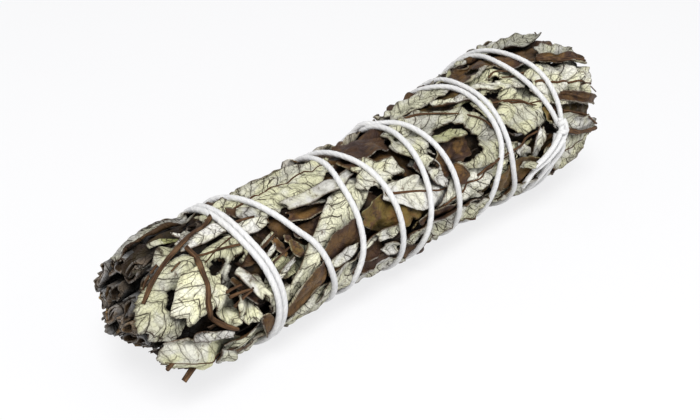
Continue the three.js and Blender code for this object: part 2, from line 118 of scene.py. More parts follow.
def place_camera():
    """Sets the camera, whose place and whose way back from what it sees are in the stick's own frame."""
    back = np.array([-0.6333, -0.5822, 0.5099])
    right = np.cross(-back, [0, 0, 1])
    right /= np.linalg.norm(right)
    up = np.cross(right, -back)
    place = lie(np.array([-140.6, -125.7, 109.42])) + AXIS_MIDDLE
    columns = [lie(right), lie(up), lie(back)]
    camera = bpy.data.objects.new("camera", bpy.data.cameras.new("camera"))
    camera.data.lens = 55.65
    camera.data.sensor_width = 36
    camera.data.clip_start = 0.01
    turned = Matrix([[column[row] for column in columns] for row in range(3)]).to_4x4()
    camera.matrix_world = Matrix.Translation(Vector(place * MM)) @ turned
    bpy.context.collection.objects.link(camera)
    bpy.context.scene.camera = camera


def add_lamp(name, place, size, watts):
    lamp = bpy.data.objects.new(name, bpy.data.lights.new(name, "AREA"))
    lamp.data.shape = "DISK"
    lamp.data.size = size
    lamp.data.energy = watts
    lamp.location = place
    lamp.rotation_euler = (-Vector(place)).to_track_quat("-Z", "Y").to_euler()
    bpy.context.collection.objects.link(lamp)


bpy.context.scene.view_settings.view_transform = "Standard"
place_camera()
add_lamp("key_lamp", (-0.26, -0.22, 0.52), 0.28, 3.6)
add_lamp("side_lamp", (0.15, -0.6, 0.3), 0.5, 0.8)


# Materials ----------------------------------------

def new_node(tree, kind, inputs, settings):
    """A node with its settings; each input is linked to a socket or holds a value."""
    made = tree.nodes.new(kind)
    for key, value in settings.items():
        setattr(made, key, value)
    for key, value in dict(inputs).items():
        if isinstance(value, bpy.types.NodeSocket):
            tree.links.new(value, made.inputs[key])
        else:
            made.inputs[key].default_value = value
    return made


class Wire:
    """A shader socket with arithmetic: an expression on values adds its Math nodes."""

    def __init__(self, look, socket):
        self.look = look
        self.socket = socket

    def maths(self, operation, *values):
        return self.look.node("Math", dict(enumerate(values)), operation=operation)

    def __add__(self, other):
        return self.maths("ADD", self, other)

    __radd__ = __add__

    def __sub__(self, other):
        return self.maths("SUBTRACT", self, other)

    def __rsub__(self, other):
        return self.maths("SUBTRACT", other, self)

    def __mul__(self, other):
        return self.maths("MULTIPLY", self, other)

    def __abs__(self):
        return self.maths("ABSOLUTE", self)

    def part(self):
        """What is left of the value above its whole number."""
        return self.maths("FRACT", self)

    def larger(self, other):
        return self.maths("MAXIMUM", self, other)

    def ramp(self, low, high):
        """0 at low and 1 at high, smooth between them; low may be the greater."""
        inputs = {"Value": self, "From Min": low, "From Max": high}
        return self.look.node("MapRange", inputs, interpolation_type="SMOOTHSTEP")


class Look:
    """The nodes of a material or of the world, under construction."""

    def __init__(self, owner):
        self.owner = owner
        owner.use_nodes = True
        self.tree = owner.node_tree
        self.tree.nodes.clear()

    def node(self, kind, inputs=(), output=0, **settings):
        inputs = {key: getattr(value, "socket", value) for key, value in dict(inputs).items()}
        made = new_node(self.tree, "ShaderNode" + kind, inputs, settings)
        return None if output is None else Wire(self, made.outputs[output])

    def is_ray(self, *kinds):
        """For each kind of ray, 1 where light travels on one."""
        path = self.node("LightPath").socket.node
        return [Wire(self, path.outputs[f"Is {kind} Ray"]) for kind in kinds]

    def attribute(self, name):
        """The three numbers of one of the mesh's attributes."""
        vector = self.node("Attribute", output=1, attribute_name=name)
        split = self.node("SeparateXYZ", {0: vector}).socket.node
        return [Wire(self, socket) for socket in split.outputs]

    def vector(self, x, y, z=0.0):
        return self.node("CombineXYZ", {0: x, 1: y, 2: z})

    def mix(self, share, first, second, **settings):
        """A colour between two others."""
        inputs = {0: share, 6: first, 7: second}
        return self.node("Mix", inputs, 2, data_type="RGBA", **settings)

    def coats(self, colour, *coats):
        """A colour with others laid over it, each in its share."""
        for share, coat in coats:
            colour = self.mix(share, colour, rgb(*coat))
        return colour

    def noise(self, vector, scale, detail=3.0, roughness=0.55):
        inputs = {"Vector": vector, "Scale": scale, "Detail": detail, "Roughness": roughness}
        return self.node("TexNoise", inputs)

    def net(self, vector, scale):
        """Distance to the nearest line of an irregular net."""
        inputs = {"Vector": vector, "Scale": scale}
        return self.node("TexVoronoi", inputs, feature="DISTANCE_TO_EDGE")

    def finish(self, colour, roughness, height, depth, fixed):
        bump = self.node("Bump", {"Height": height, "Distance": depth})
        inputs = {"Base Color": colour, "Roughness": roughness, "Normal": bump, **fixed}
        return self.shown(self.node("BsdfPrincipled", inputs))

    def shown(self, shader, kind="OutputMaterial"):
        """The finished material or world, with its last node put in."""
        self.node(kind, {"Surface": shader}, output=None)
        return self.owner


def rgb(red, green, blue):
    return (red, green, blue, 1.0)


def leaf_look(name, pale, pale_warm, brown, brown_warm, gloss):
    """A dried leaf: pale felt with a net of dark veins below, brown resin above.

    The attribute blade holds the millimetres along and across the leaf and a number of its own,
    side holds 1 where the resinous face is, 1 on a rib, and 1 at the margin, tint holds warmth,
    lightness and greenness, and form the count of side veins, how deep a place lies among the leaves
    (which darkens it as painted shade) and how smooth it is.
    """
    look = Look(bpy.data.materials.new(name))
    along, across, own = look.attribute("blade")
    resinous, rib, margin = look.attribute("side")
    warmth, light, green = look.attribute("tint")
    vein_count, painted_shade_depth, smooth = look.attribute("form")
    place = look.vector(along, across, own * 7.0)
    patches = look.noise(place, 0.17, 3.0)
    wander = look.noise(place, 0.5, 3.0)
    speckle = look.noise(place, 2.4, 4.0, 0.7)
    # Side veins, and rungs between them that break up here and there.
    count = vein_count + wander * 0.35
    to_side = abs(count.part() - 0.5)
    side_vein = to_side.ramp(0.055, 0.015)
    bent = look.vector(count * 1.15, across * 0.42 + wander * 0.4, own * 3.0)
    rungs = look.net(bent, 1.2).ramp(0.05, 0.01)
    fine_net = look.net(look.vector(along + wander, across, own * 5.0), 1.4).ramp(0.1, 0.03)
    broken = speckle.ramp(0.36, 0.5)
    clear = look.noise(place, 0.33, 2.0).ramp(0.35, 0.62) * 0.75 + 0.25
    vein = (side_vein * (clear * 0.3 + 0.7)).larger(rungs * (broken * 0.4 + 0.6) * clear)
    vein = vein.larger(fine_net * broken * 0.35)
    veined = 1 - smooth
    stain = look.noise(place, 0.6, 5.0, 0.75)
    felt = look.mix(patches.ramp(0.4, 0.6) * 0.7 + warmth * 0.8 - 0.25, pale, pale_warm)
    felt = look.coats(
        felt,
        (green * patches.ramp(0.35, 0.55), (0.36, 0.37, 0.15)),
        (stain.ramp(0.4, 0.3) * 0.5, (0.82, 0.81, 0.75)),
        # A darker halo beside each side vein: painted shade along the raised veins.
        (to_side.ramp(0.3, 0.05) * 0.2, (0.25, 0.22, 0.14)),
        (stain.ramp(0.55, 0.68) * 0.8, (0.13, 0.095, 0.06)),
        (vein * veined * 0.95, (0.03, 0.018, 0.012)))
    glow = look.noise(place, 0.28, 4.0, 0.6)
    dust = speckle.ramp(0.5, 0.75) * 0.15 + side_vein * 0.15
    resin = look.mix(patches.ramp(0.4, 0.62) * (warmth * 0.9 + 0.45), brown, brown_warm)
    resin = look.coats(
        resin,
        (glow.ramp(0.48, 0.62) * warmth * 0.85, (0.185, 0.1, 0.032)),
        (glow.ramp(0.46, 0.36) * 0.75, (0.04, 0.024, 0.022)),
        (green * wander.ramp(0.35, 0.6), (0.12, 0.085, 0.022)),
        (dust, (0.13, 0.09, 0.07)),
        (stain.ramp(0.55, 0.68) * 0.6, (0.012, 0.008, 0.006)))
    colour = look.mix(resinous, felt, resin)
    colour = look.coats(colour, (margin * (speckle.ramp(0.3, 0.6) * 0.5 + 0.45), (0.045, 0.026, 0.016)))
    bark = look.mix(speckle, rgb(0.13, 0.065, 0.032), rgb(0.035, 0.018, 0.01))
    colour = look.mix(rib, colour, bark)
    # Painted shade: a place lying deep among the leaves is darkened by up to 0.84, on top of the leaf's own
    # lightness.
    shade = light * (1 - painted_shade_depth * 0.84)
    colour = look.mix(1.0, colour, look.vector(shade, shade, shade), blend_type="MULTIPLY")
    roughness = 0.92 - resinous * (0.92 - gloss) + speckle * 0.12
    height = (side_vein * 0.8 + rungs * 0.5) * veined + fine_net * 0.2 + speckle * 0.4 + wander * 0.5
    return look.finish(colour, roughness, height, 0.00015, {"Specular IOR Level": 0.14})


def bark_look():
    look = Look(bpy.data.materials.new("dry_bark"))
    along, around, own = look.attribute("blade")
    streaks = look.noise(look.vector(along * 0.25, around * 2.5, own * 5.0), 1.6, 4.0)
    patches = look.noise(look.vector(along, around, own * 3.0), 0.35, 2.0)
    colour = look.mix(streaks.ramp(0.35, 0.68), rgb(0.026, 0.013, 0.007), rgb(0.12, 0.062, 0.028))
    colour = look.coats(colour, (patches.ramp(0.5, 0.7) * 0.5, (0.17, 0.1, 0.05)))
    return look.finish(colour, 0.62 + streaks * 0.2, streaks, 0.00012, {"Specular IOR Level": 0.15})


def cotton_look():
    look = Look(bpy.data.materials.new("cotton_twine"))
    place = look.node("TexCoord", output="Object")
    along, around, _ = look.attribute("blade")
    fibres = look.noise(look.vector(along * 0.9 + around * 3.0, around * 9.0, along * 0.2), 1.0, 4.0, 0.65)
    soil = look.noise(place, 90.0, 3.0)
    colour = look.mix(fibres.ramp(0.3, 0.75), rgb(0.57, 0.57, 0.58), rgb(0.74, 0.735, 0.72))
    colour = look.coats(colour, (soil.ramp(0.55, 0.8) * 0.25, (0.62, 0.6, 0.52)))
    return look.finish(colour, 0.88, fibres, 0.00008, {"Sheen Weight": 0.15})


def floor_look():
    """Near white to the camera, and a plain pale floor to everything else."""
    look = Look(bpy.data.materials.new("floor"))
    place = look.node("TexCoord", output="Object")
    grain = look.noise(place, 60.0)
    colour = look.mix(grain, rgb(0.86, 0.86, 0.87), rgb(0.88, 0.88, 0.89))
    floor = look.node("BsdfPrincipled", {"Base Color": colour, "Roughness": 0.9})
    shown = look.node("Emission", {"Color": rgb(0.97, 0.97, 0.98), "Strength": 1.0})
    camera, = look.is_ray("Camera")
    return look.shown(look.node("MixShader", {0: camera * 0.8, 1: floor, 2: shown}))


def light_world():
    """Even white light from all round, and a pale background."""
    world = bpy.data.worlds.new("studio")
    bpy.context.scene.world = world
    look = Look(world)
    light = look.node("Background", {"Color": rgb(1.0, 1.0, 1.0), "Strength": 0.47})
    backdrop = look.node("Background", {"Color": rgb(0.97, 0.97, 0.98)})
    camera, glossy, through = look.is_ray("Camera", "Glossy", "Transmission")
    seen = camera + glossy + through
    look.shown(look.node("MixShader", {0: seen, 1: light, 2: backdrop}), "OutputWorld")


light_world()
LOOKS = {
    "pale_leaf": leaf_look("pale_leaf", rgb(0.64, 0.63, 0.59), rgb(0.65, 0.64, 0.43),
                           rgb(0.048, 0.026, 0.015), rgb(0.11, 0.06, 0.021), 0.5),
    "brown_leaf": leaf_look("brown_leaf", rgb(0.5, 0.48, 0.43), rgb(0.5, 0.45, 0.28),
                            rgb(0.046, 0.023, 0.014), rgb(0.135, 0.074, 0.025), 0.42),
    "dark_leaf": leaf_look("dark_leaf", rgb(0.31, 0.31, 0.31), rgb(0.2, 0.12, 0.05),
                           rgb(0.026, 0.017, 0.01), rgb(0.065, 0.04, 0.017), 0.42),
    "stem": bark_look(),
    "cotton": cotton_look(),
}


# Meshes ----------------------------------------

class Body:
    """Closed surfaces gathered for one piece, with the attributes that its look reads."""

    KEYS = ("blade", "side", "tint", "form")

    def __init__(self):
        self.points, self.faces = [], []
        self.stores = {key: [] for key in self.KEYS}
        self.count = 0

    def add(self, points, faces, **values):
        self.points.append(points.reshape(-1, 3))
        self.faces.extend((np.asarray(face) + self.count).tolist() for face in faces)
        size = len(self.points[-1])
        for key, store in self.stores.items():
            store.append(np.broadcast_to(values.get(key, 0.0), (size, 3)))
        self.count += size

    def piece(self, name, slot, nodes=()):
        mesh = bpy.data.meshes.new(name)
        mesh.from_pydata((np.concatenate(self.points) * MM).tolist(), [], self.faces)
        for key, store in self.stores.items():
            attribute = mesh.attributes.new(key, "FLOAT_VECTOR", "POINT")
            attribute.data.foreach_set("vector", np.concatenate(store).astype(np.float32).ravel())
        mesh.shade_smooth()
        mesh.materials.append(LOOKS[slot])
        made = bpy.data.objects.new(name, mesh)
        bpy.context.collection.objects.link(made)
        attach(made, "root")
        if nodes:
            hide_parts(*nodes)


def sheet_of(points, thickness, kept=None):
    """A thin closed sheet through a grid of points, of which kept says which cells are there.

    Gives its points, its faces, each point's number in the grid, and the grid's size: numbers from
    that size on are on the inner face.
    """
    rows, columns = points.shape[:2]
    along = np.gradient(points, axis=0)
    across = np.gradient(points, axis=1)
    normals = np.cross(across, along)
    normals /= np.maximum(np.linalg.norm(normals, axis=-1, keepdims=True), 1e-9)
    half = normals * np.reshape(thickness, np.shape(thickness) + (1,) * (3 - np.ndim(thickness))) / 2
    corners = np.arange(rows * columns).reshape(rows, columns)
    quads = np.stack([corners[:-1, :-1], corners[:-1, 1:], corners[1:, 1:], corners[1:, :-1]], -1)
    quads = quads[kept] if kept is not None else quads.reshape(-1, 4)
    total = rows * columns
    edges = np.concatenate([quads[:, [corner, (corner + 1) % 4]] for corner in range(4)])
    forward = edges[:, 0] * total + edges[:, 1]
    rim = edges[~np.isin(edges[:, 1] * total + edges[:, 0], forward)]
    walls = np.stack([rim[:, 1], rim[:, 0], rim[:, 0] + total, rim[:, 1] + total], -1)
    faces = np.concatenate([quads, quads[:, ::-1] + total, walls])
    both = np.concatenate([(points + half).reshape(-1, 3), (points - half).reshape(-1, 3)])
    used = np.unique(faces)
    place = np.full(2 * total, -1)
    place[used] = np.arange(len(used))
    return both[used], place[faces], used, total


def tube_along(path, radius, sides, roundness=1.0):
    """A closed tube along a path of points; radius is one for each point.

    Gives its points, its faces, and each point's millimetres along and around it.
    """
    path = np.asarray(path)
    count = len(path)
    along = np.gradient(path, axis=0)
    along /= np.linalg.norm(along, axis=1, keepdims=True)
    out = np.zeros_like(path)
    guide = np.array([0.0, 0.0, 1.0]) if abs(along[0][2]) < 0.8 else np.array([1.0, 0.0, 0.0])
    for place, ahead in enumerate(along):
        guide = guide - ahead * guide.dot(ahead)
        guide /= np.linalg.norm(guide)
        out[place] = guide
    beside = np.cross(along, out)
    turn = np.linspace(0, 2 * pi, sides, endpoint=False)
    wide = np.broadcast_to(np.reshape(radius, (-1, 1)), (count, sides)) * roundness
    ring = (wide * np.cos(turn))[..., None] * out[:, None]
    ring = ring + (wide * np.sin(turn))[..., None] * beside[:, None]
    points = path[:, None] + ring
    index = np.arange(count * sides).reshape(count, sides)
    turned = np.roll(index, -1, axis=1)
    faces = np.stack([index[:-1], turned[:-1], turned[1:], index[1:]], -1).reshape(-1, 4).tolist()
    faces.append(index[0][::-1].tolist())
    faces.append(index[-1].tolist())
    lengths = np.concatenate([[0], np.cumsum(np.linalg.norm(np.diff(path, axis=0), axis=1))])
    marks = np.stack(np.broadcast_arrays(lengths[:, None], np.mean(radius) * turn[None, :], 0.0), -1)
    return points.reshape(-1, 3), faces, marks.reshape(-1, 3)


def ripples(rng, pitch, count=8):
    """A smooth random surface of about unit height, waves of about that pitch."""
    turns = rng.uniform(0, 2 * pi, count)
    steps = 2 * pi / (pitch * rng.uniform(0.6, 1.6, count))
    starts = rng.uniform(0, 2 * pi, count)

    def height(u, v):
        waves = [np.sin((u * cos(turn) + v * sin(turn)) * step + start)
                 for turn, step, start in zip(turns, steps, starts)]
        return sum(waves) / sqrt(count / 2)

    return height


# The twine's route ----------------------------------------

# From the knot down the stick and back: total angle turned, and x.
TWINE_DOWN = [
    (-283, 45.2), (-255, 43.2), (-200, 42.6), (-150, 43.4), (-90, 45.5), (-45, 46.6),
    (0, 46.8), (30, 48.1), (60, 47.7), (90, 46.2), (105, 45.5), (160, 44.8), (215, 41.5),
    (270, 34.5), (330, 26.6), (360, 28.3), (390, 28.6), (420, 28.2), (450, 25.6), (475, 24.7),
    (520, 23.8), (580, 19.5), (640, 12), (690, 7.2), (720, 7.2), (750, 6.3), (780, 5.2),
    (810, 4.3), (835, 3.6), (880, 3), (940, -1), (1010, -8.5), (1065, -11), (1080, -11.4),
    (1110, -13.3), (1140, -14), (1170, -14.6), (1185, -15.2), (1225, -15.7), (1260, -16),
    (1290, -17.6), (1340, -27), (1375, -35.5), (1410, -38), (1440, -38.8), (1470, -38.8),
    (1500, -37.5), (1530, -36.5), (1560, -36.2), (1620, -37.3), (1700, -38),
]
TWINE_BACK = [
    (1770, -36.8), (1800, -37.5), (1830, -37.5), (1860, -36.2), (1890, -35.2), (1920, -34.9),
    (1990, -34), (2080, -33), (2145, -32), (2160, -31.3), (2175, -30.4), (2190, -29.2),
    (2205, -27.7), (2220, -25.5), (2235, -24.1), (2250, -23), (2265, -21.8), (2305, -19.5),
    (2340, -18.6), (2370, -16.8), (2430, -11.5), (2490, -7.8), (2520, -6.9), (2550, -5.4),
    (2580, -4.5), (2610, -3.8), (2640, -2.8), (2690, -1.5), (2760, 2.5), (2865, 8.6),
    (2880, 10.1), (2910, 11.6), (2940, 12.6), (2970, 13.4), (3000, 14.8), (3050, 16.8),
    (3120, 23), (3210, 31.3), (3240, 30.3), (3270, 30.4), (3300, 30.1), (3330, 30.9),
    (3355, 33.6), (3420, 36.5), (3500, 41.5), (3585, 43.7), (3600, 42.8), (3630, 43.2),
    (3645, 44.1), (3660, 45.3), (3672, 46.2),
]


route_turned, route_x = zip(*TWINE_DOWN, *TWINE_BACK)
twine_turned = np.arange(route_turned[0], route_turned[-1], 2.0)
twine_x = smooth_through(route_turned, route_x, twine_turned)
comes_back = twine_turned >= TWINE_BACK[0][0]


# The cover: heights over the rolled inner leaves ----------------------------------------

CELL, TURN_CELL = 0.4, 1.5  # millimetres and degrees
FAR = 99.0
COLUMNS, ROWS = int((GRID_END - BUTT_X) / CELL) + 1, int(360 / TURN_CELL)
every_x, every_angle = np.meshgrid(
    BUTT_X + CELL * np.arange(COLUMNS), TURN_CELL * np.arange(ROWS), indexing="ij")


def shifted(field, columns, rows):
    """The field moved by whole cells, its ends repeated along the stick and joined around it."""
    index = np.clip(np.arange(COLUMNS) - columns, 0, COLUMNS - 1)
    return np.roll(field[index], rows, axis=1)


def widened(field, reach):
    """The greatest height within a reach of cells."""
    for step in range(1, reach + 1):
        field = np.maximum.reduce([field, shifted(field, 1, 0), shifted(field, -1, 0)])
        field = np.maximum.reduce([field, shifted(field, 0, 1), shifted(field, 0, -1)])
    return field


def softened(field, reach):
    """The field averaged over a reach of cells, twice."""
    for _ in range(2):
        field = sum(shifted(field, step, 0) for step in range(-reach, reach + 1)) / (2 * reach + 1)
        field = sum(shifted(field, 0, step) for step in range(-reach, reach + 1)) / (2 * reach + 1)
    return field


def read(field, x, angle):
    """The field at any spots."""
    column = np.clip((x - BUTT_X) / CELL, 0, COLUMNS - 1.001)
    row = (angle / TURN_CELL) % ROWS
    first, lower = column.astype(int), row.astype(int)
    past, above = column - first, row - lower
    upper = (lower + 1) % ROWS
    lower = lower % ROWS
    near = field[first, lower] * (1 - above) + field[first, upper] * above
    far = field[first + 1, lower] * (1 - above) + field[first + 1, upper] * above
    return near * (1 - past) + far * past


def strand_distance():
    """Millimetres from every cell of the cover to the nearest strand of twine."""
    distance = np.full((COLUMNS, ROWS), FAR)
    reach = 12
    for x, turned in zip(twine_x, twine_turned):
        column, row = round((x - BUTT_X) / CELL), round((turned % 360) / TURN_CELL)
        columns = np.clip(np.arange(column - reach, column + reach + 1), 0, COLUMNS - 1)
        rows = np.arange(row - reach, row + reach + 1) % ROWS
        apart = (every_angle[0, rows] - turned + 180) % 360 - 180
        around = np.radians(apart) * MEAN_RADIUS
        found = np.hypot((every_x[columns, 0] - x)[:, None], around[None, :])
        window = np.ix_(columns, rows)
        distance[window] = np.minimum(distance[window], found)
    return distance


to_strand = strand_distance()
cover = np.zeros((COLUMNS, ROWS))
hollow = np.zeros((COLUMNS, ROWS))  # 1 where a gap goes down to the under-leaves


# Laying leaves ----------------------------------------

VEIN_PITCH = 3.0
LEAF_GAP = 0.1  # between a leaf and the ones under it
RELIEF_CARRIED = 0.6  # how far a leaf's own relief lifts the leaves laid over it
LONGEST_ROLL = 4.4  # how far round a margin rolls, in radians
MM_PER_DEGREE = 0.24  # around the bundle, about
laid = []


def inside(polygon, x, y):
    """Whether points lie inside a closed outline."""
    found = np.zeros(np.shape(x), bool)
    for (x0, y0), (x1, y1) in zip(polygon, polygon[1:] + polygon[:1]):
        crosses = (y0 > y) != (y1 > y)
        found ^= crosses & (x < (x1 - x0) * (y - y0) / (y1 - y0 + 1e-9) + x0)
    return found


def around_to(angle, middle):
    """The same angle, within half a turn of another."""
    return (angle - middle + 180) % 360 - 180 + middle


def middles(field):
    """The field at the middle of each cell of its grid."""
    return (field[:-1, :-1] + field[1:, :-1] + field[:-1, 1:] + field[1:, 1:]) / 4


def lay(name, face, x0, a0, x1, a1, width, bend=0.0, ragged=0.09, ends=(0.3, 0.15), torn=(0.5, 0.35),
        curl=(0.5, 0.5), rolled=None, share=0.24, hole=None, rib=0.5, wrinkle=0.6, pleats=0.45,
        bulge=0.0, raised=0.0, smooth=0.0, warm=0.3, light=1.0, green=0.0, margin=0.6, over=0.0,
        cell=0.5):
    """Lays a leaf on what is already there, from its base at x0, a0 to its tip at x1, a1.

    ends are its widths there as shares of the greatest; torn is how ragged both ends are; curl is
    how far each margin lifts; rolled is the radius in which each margin rolls over, and share how
    much of it; bulge and raised lift its middle and its tip; smooth hides its veins; over is how far
    it may stand out at the butt; cell is the size of its grid's cells.
    """
    rng = np.random.default_rng([len(laid), 17])
    per_degree = radians(1) * float(bundle_radius((x0 + x1) / 2, a0))
    run, rise = x1 - x0, (a1 - a0) * per_degree
    length = hypot(run, rise)
    rows, columns = max(8, round(length / cell)), max(6, 2 * round(width / cell / 1.8))
    if rolled is None:
        rolled = tuple(rng.choice([0, 0, 0.35, 0.5], 2))
    u, v = np.meshgrid(np.linspace(0, 1, rows + 1), np.linspace(-1, 1, columns + 1), indexing="ij")
    v = 0.35 * v + 0.65 * np.sin(pi / 2 * v)
    broadest = rng.uniform(0.36, 0.5)
    rising = ends[0] + (1 - ends[0]) * np.sin(pi / 2 * np.clip(u / broadest, 0, 1))
    falling = np.cos(pi / 2 * np.clip((u - broadest) / (1 - broadest), 0, 1)) ** 0.8
    outline = rising * (ends[1] + (1 - ends[1]) * falling) * width / 2
    broad, fine = ripples(rng, 7), ripples(rng, 2.2)
    other_side = np.sign(v) * 40
    fray = broad(u * length, other_side) * 0.8 + fine(u * length, other_side) * 0.2
    half = outline * np.clip(1 + ragged * fray, 0.3, 1.5)
    across = v * half
    jag = ripples(rng, 2.8)
    along = u * length + torn[0] * jag(across, 0 * u) * (1 - u) ** 6
    along = along + torn[1] * jag(across, 9 + 0 * u) * u ** 6

    # Margins that roll over.
    aside, lift = across.copy(), np.zeros_like(across)
    sway = ripples(rng, 11)
    for sign, size in ((-1, rolled[0]), (1, rolled[1])):
        if size:
            part = share * np.clip(0.75 + 0.55 * sway(u * length, 30.0 * sign), 0.1, 1.3)
            start = half * (1 - part)
            beyond = np.where(np.sign(v) == sign, np.maximum(0, np.abs(across) - start), 0)
            turn = np.minimum(beyond / size, LONGEST_ROLL)
            aside = np.where(beyond > 0, sign * (start + size * np.sin(turn)), aside)
            lift += size * (1 - np.cos(turn))
    aside = aside + bend * np.sin(pi * u)
    x = x0 + (run * along - rise * aside) / length
    angle = a0 + (rise * along + run * aside) / length / per_degree

    support = softened(widened(cover, 2), 2)
    drape = np.maximum(read(support, x, angle), read(widened(cover, 1), x, angle) - LEAF_GAP)
    large, small, pleat = ripples(rng, 9), ripples(rng, 3), ripples(rng, 2.6)
    folds = large(along, across) ** 2 * 0.35 + np.abs(small(along, across)) * 0.16
    folds = wrinkle * folds + pleats * np.abs(pleat(along * 0.28, across)) * 0.5
    slant = along - 1.1 * np.abs(across) + 0.05 * across ** 2
    count = slant / VEIN_PITCH + 0.1 * large(along, across) + 0.04 * small(along, across) + rng.uniform()
    puckers = 0.13 * np.abs(np.cos(pi * count)) * (1 - v ** 4)
    left, right = np.clip(-v, 0, 1), np.clip(v, 0, 1)
    curled = (curl[0] * left ** 4 + curl[1] * right ** 4) * np.clip(0.7 + 0.6 * sway(along, 0 * u), 0, 1.8)
    own = folds + puckers + curled + lift + bulge * (1 - v ** 2) * np.sin(pi * u) + raised * u ** 3
    height = drape + LEAF_GAP + LEAF_THICKNESS / 2 + own

    middle_x, middle_angle = middles(x), middles(angle)
    kept = middle_x + 0.3 * broad(middles(along), middles(across)) > butt_edge(middle_angle) - over
    if hole:
        shaken = middle_x + 0.3 * fine(middles(along), middles(across))
        kept &= ~inside(hole, shaken, around_to(middle_angle, hole[0][1]))
    press_under(x, angle, height, kept)
    raise_cover(x, angle, drape + LEAF_GAP + LEAF_THICKNESS + np.minimum(own, RELIEF_CARRIED), kept)
    laid.append({
        "name": name, "face": face, "x": x, "angle": angle, "height": height, "kept": kept, "rib": rib,
        "along": along, "across": across, "number": len(laid) * 0.37 % 5, "veins": count,
        "smooth": smooth, "margin": margin * np.maximum.reduce([np.abs(v) ** 9, u ** 30, (1 - u) ** 30]),
        "tint": (warm + rng.uniform(-0.2, 0.25), light * rng.uniform(0.8, 1.1), green),
    })


def fine_grid(field, kept=None):
    """The grid's values and those between them, in one flat list; cells left out are not numbers."""
    if kept is not None:
        whole = np.zeros(field.shape, bool)
        whole[:-1, :-1] |= kept
        whole[1:, 1:] |= kept
        field = np.where(whole, field, np.nan)
    along = (field[:-1] + field[1:]) / 2
    across = (field[:, :-1] + field[:, 1:]) / 2
    middle = (along[:, :-1] + along[:, 1:]) / 2
    return np.concatenate([part.ravel() for part in (field, along, across, middle)])


def cells_of(x, angle):
    """The cover's nearest cells."""
    column = np.clip(np.round((x - BUTT_X) / CELL), 0, COLUMNS - 1).astype(int)
    return column, np.round(angle / TURN_CELL).astype(int) % ROWS


def cells_with(field, x, angle, kept):
    """The cover's cells that a leaf lies on, and the field's values there."""
    values = fine_grid(field, kept)
    there = ~np.isnan(values)
    return cells_of(fine_grid(x)[there], fine_grid(angle)[there]), values[there]


def raise_cover(x, angle, top, kept):
    """Raises the cover to a new leaf's outer face."""
    place, tops = cells_with(top, x, angle, kept)
    np.maximum.at(cover, place, tops)


def press_under(x, angle, height, kept):
    """Presses what earlier leaves lift, under a new one."""
    ceiling = np.full((COLUMNS, ROWS), FAR)
    place, heights = cells_with(height, x, angle, kept)
    np.minimum.at(ceiling, place, heights - LEAF_THICKNESS)
    for leaf in laid:
        leaf["height"] = np.minimum(leaf["height"], ceiling[cells_of(leaf["x"], leaf["angle"])])


def open_gap(*outline):
    """Tears what is laid so far within an outline of x and angle, down to the under-leaves."""
    tear = ripples(np.random.default_rng([len(laid), 23]), 1.8)
    for leaf in laid:
        if leaf["name"] != "under_leaves":
            x, angle = middles(leaf["x"]), middles(leaf["angle"])
            x = x + 0.25 * tear(x, angle * MM_PER_DEGREE)
            leaf["kept"] &= ~inside(outline, x, around_to(angle, outline[0][1]))
    within = inside(outline, every_x, around_to(every_angle, outline[0][1]))
    cover[within] = under_cover[within]
    hollow[within] = 1


def scrap(style, face, *place, name=None, **more):
    """Lays a piece of leaf in one of the styles; without a name it is one of the scraps."""
    lay(name or f"{face}_scraps", face, *place, **{**style, **more})


PLAIN = {"rib": 0}
TORN = {"rib": 0, "cell": 0.35, "ends": (0.5, 0.4), "share": 0.4, "ragged": 0.2}
TUBE = {"rib": 0, "cell": 0.4, "ends": (0.8, 0.7), "rolled": (0.8, 0.8), "share": 0.8, "wrinkle": 0.3}
EDGED = {"rib": 0, "cell": 0.4, "ends": (0.7, 0.6), "rolled": (0.45, 0.45), "share": 0.5, "wrinkle": 0.3}
FLAT = (0, 0)  # margins that don't roll

# The order matters: each leaf lies on those before it, and a gap is torn in what is there so far.
# Dark leaves under everything, made darker still (lightness 0.7) as painted shade in the gaps that go down
# to them.
for step in range(12):
    side = step * 30 + 7
    lay("under_leaves", "dark", -62, side, 4 - step % 4, side + 6, 10, light=0.7, cell=0.9, over=-1.2)
    lay("under_leaves", "dark", 1 + step % 3, side + 12, 61 - step % 4, side + 8, 11, light=0.7, cell=0.9)
under_cover = cover.copy()

# The leaves of the first layer.
lay("leaf_01", "brown", -40.5, -12, 9.9, -6, 13)
lay("leaf_02", "brown", -44.1, 38, 0.9, 28, 12)
lay("leaf_03", "brown", -38.7, 104, 8.1, 74, 13, light=0.85)
lay("leaf_05", "brown", 13.5, 0, 47.7, -4, 12, green=0.6)
lay("leaf_06", "brown", 22.5, 104, 47.7, 86, 13, green=0.5)
lay("leaf_07", "dark", -61.5, 82, -36.9, 108, 8)
lay("leaf_08", "brown", -27.9, 150, 13.5, 140, 14)
lay("leaf_09", "pale", -31.5, 205, 9.9, 190, 14, warm=0.2)
lay("leaf_10", "brown", -53, 245, -14, 235, 14, green=0.3)
lay("leaf_11", "pale", 9.9, 245, 62.3, 250, 14)
lay("leaf_12", "brown", -22.5, 300, 18.9, 308, 13)
lay("leaf_13", "pale", -57, 140, -21, 130, 13)
lay("leaf_14", "pale", 6.3, 128, 60, 136, 13, warm=0.5)
lay("leaf_15", "pale", -54.5, 190, -18, 200, 14)
lay("leaf_16", "brown", 4.5, 190, 61, 200, 14, green=0.4)
lay("leaf_17", "pale", -26.1, 250, 17.1, 262, 14, green=0.3)
lay("leaf_18", "pale", -56, 300, -15, 292, 14, rolled=FLAT)
lay("leaf_19", "pale", 13.5, 296, 64.5, 300, 14, warm=0.6)

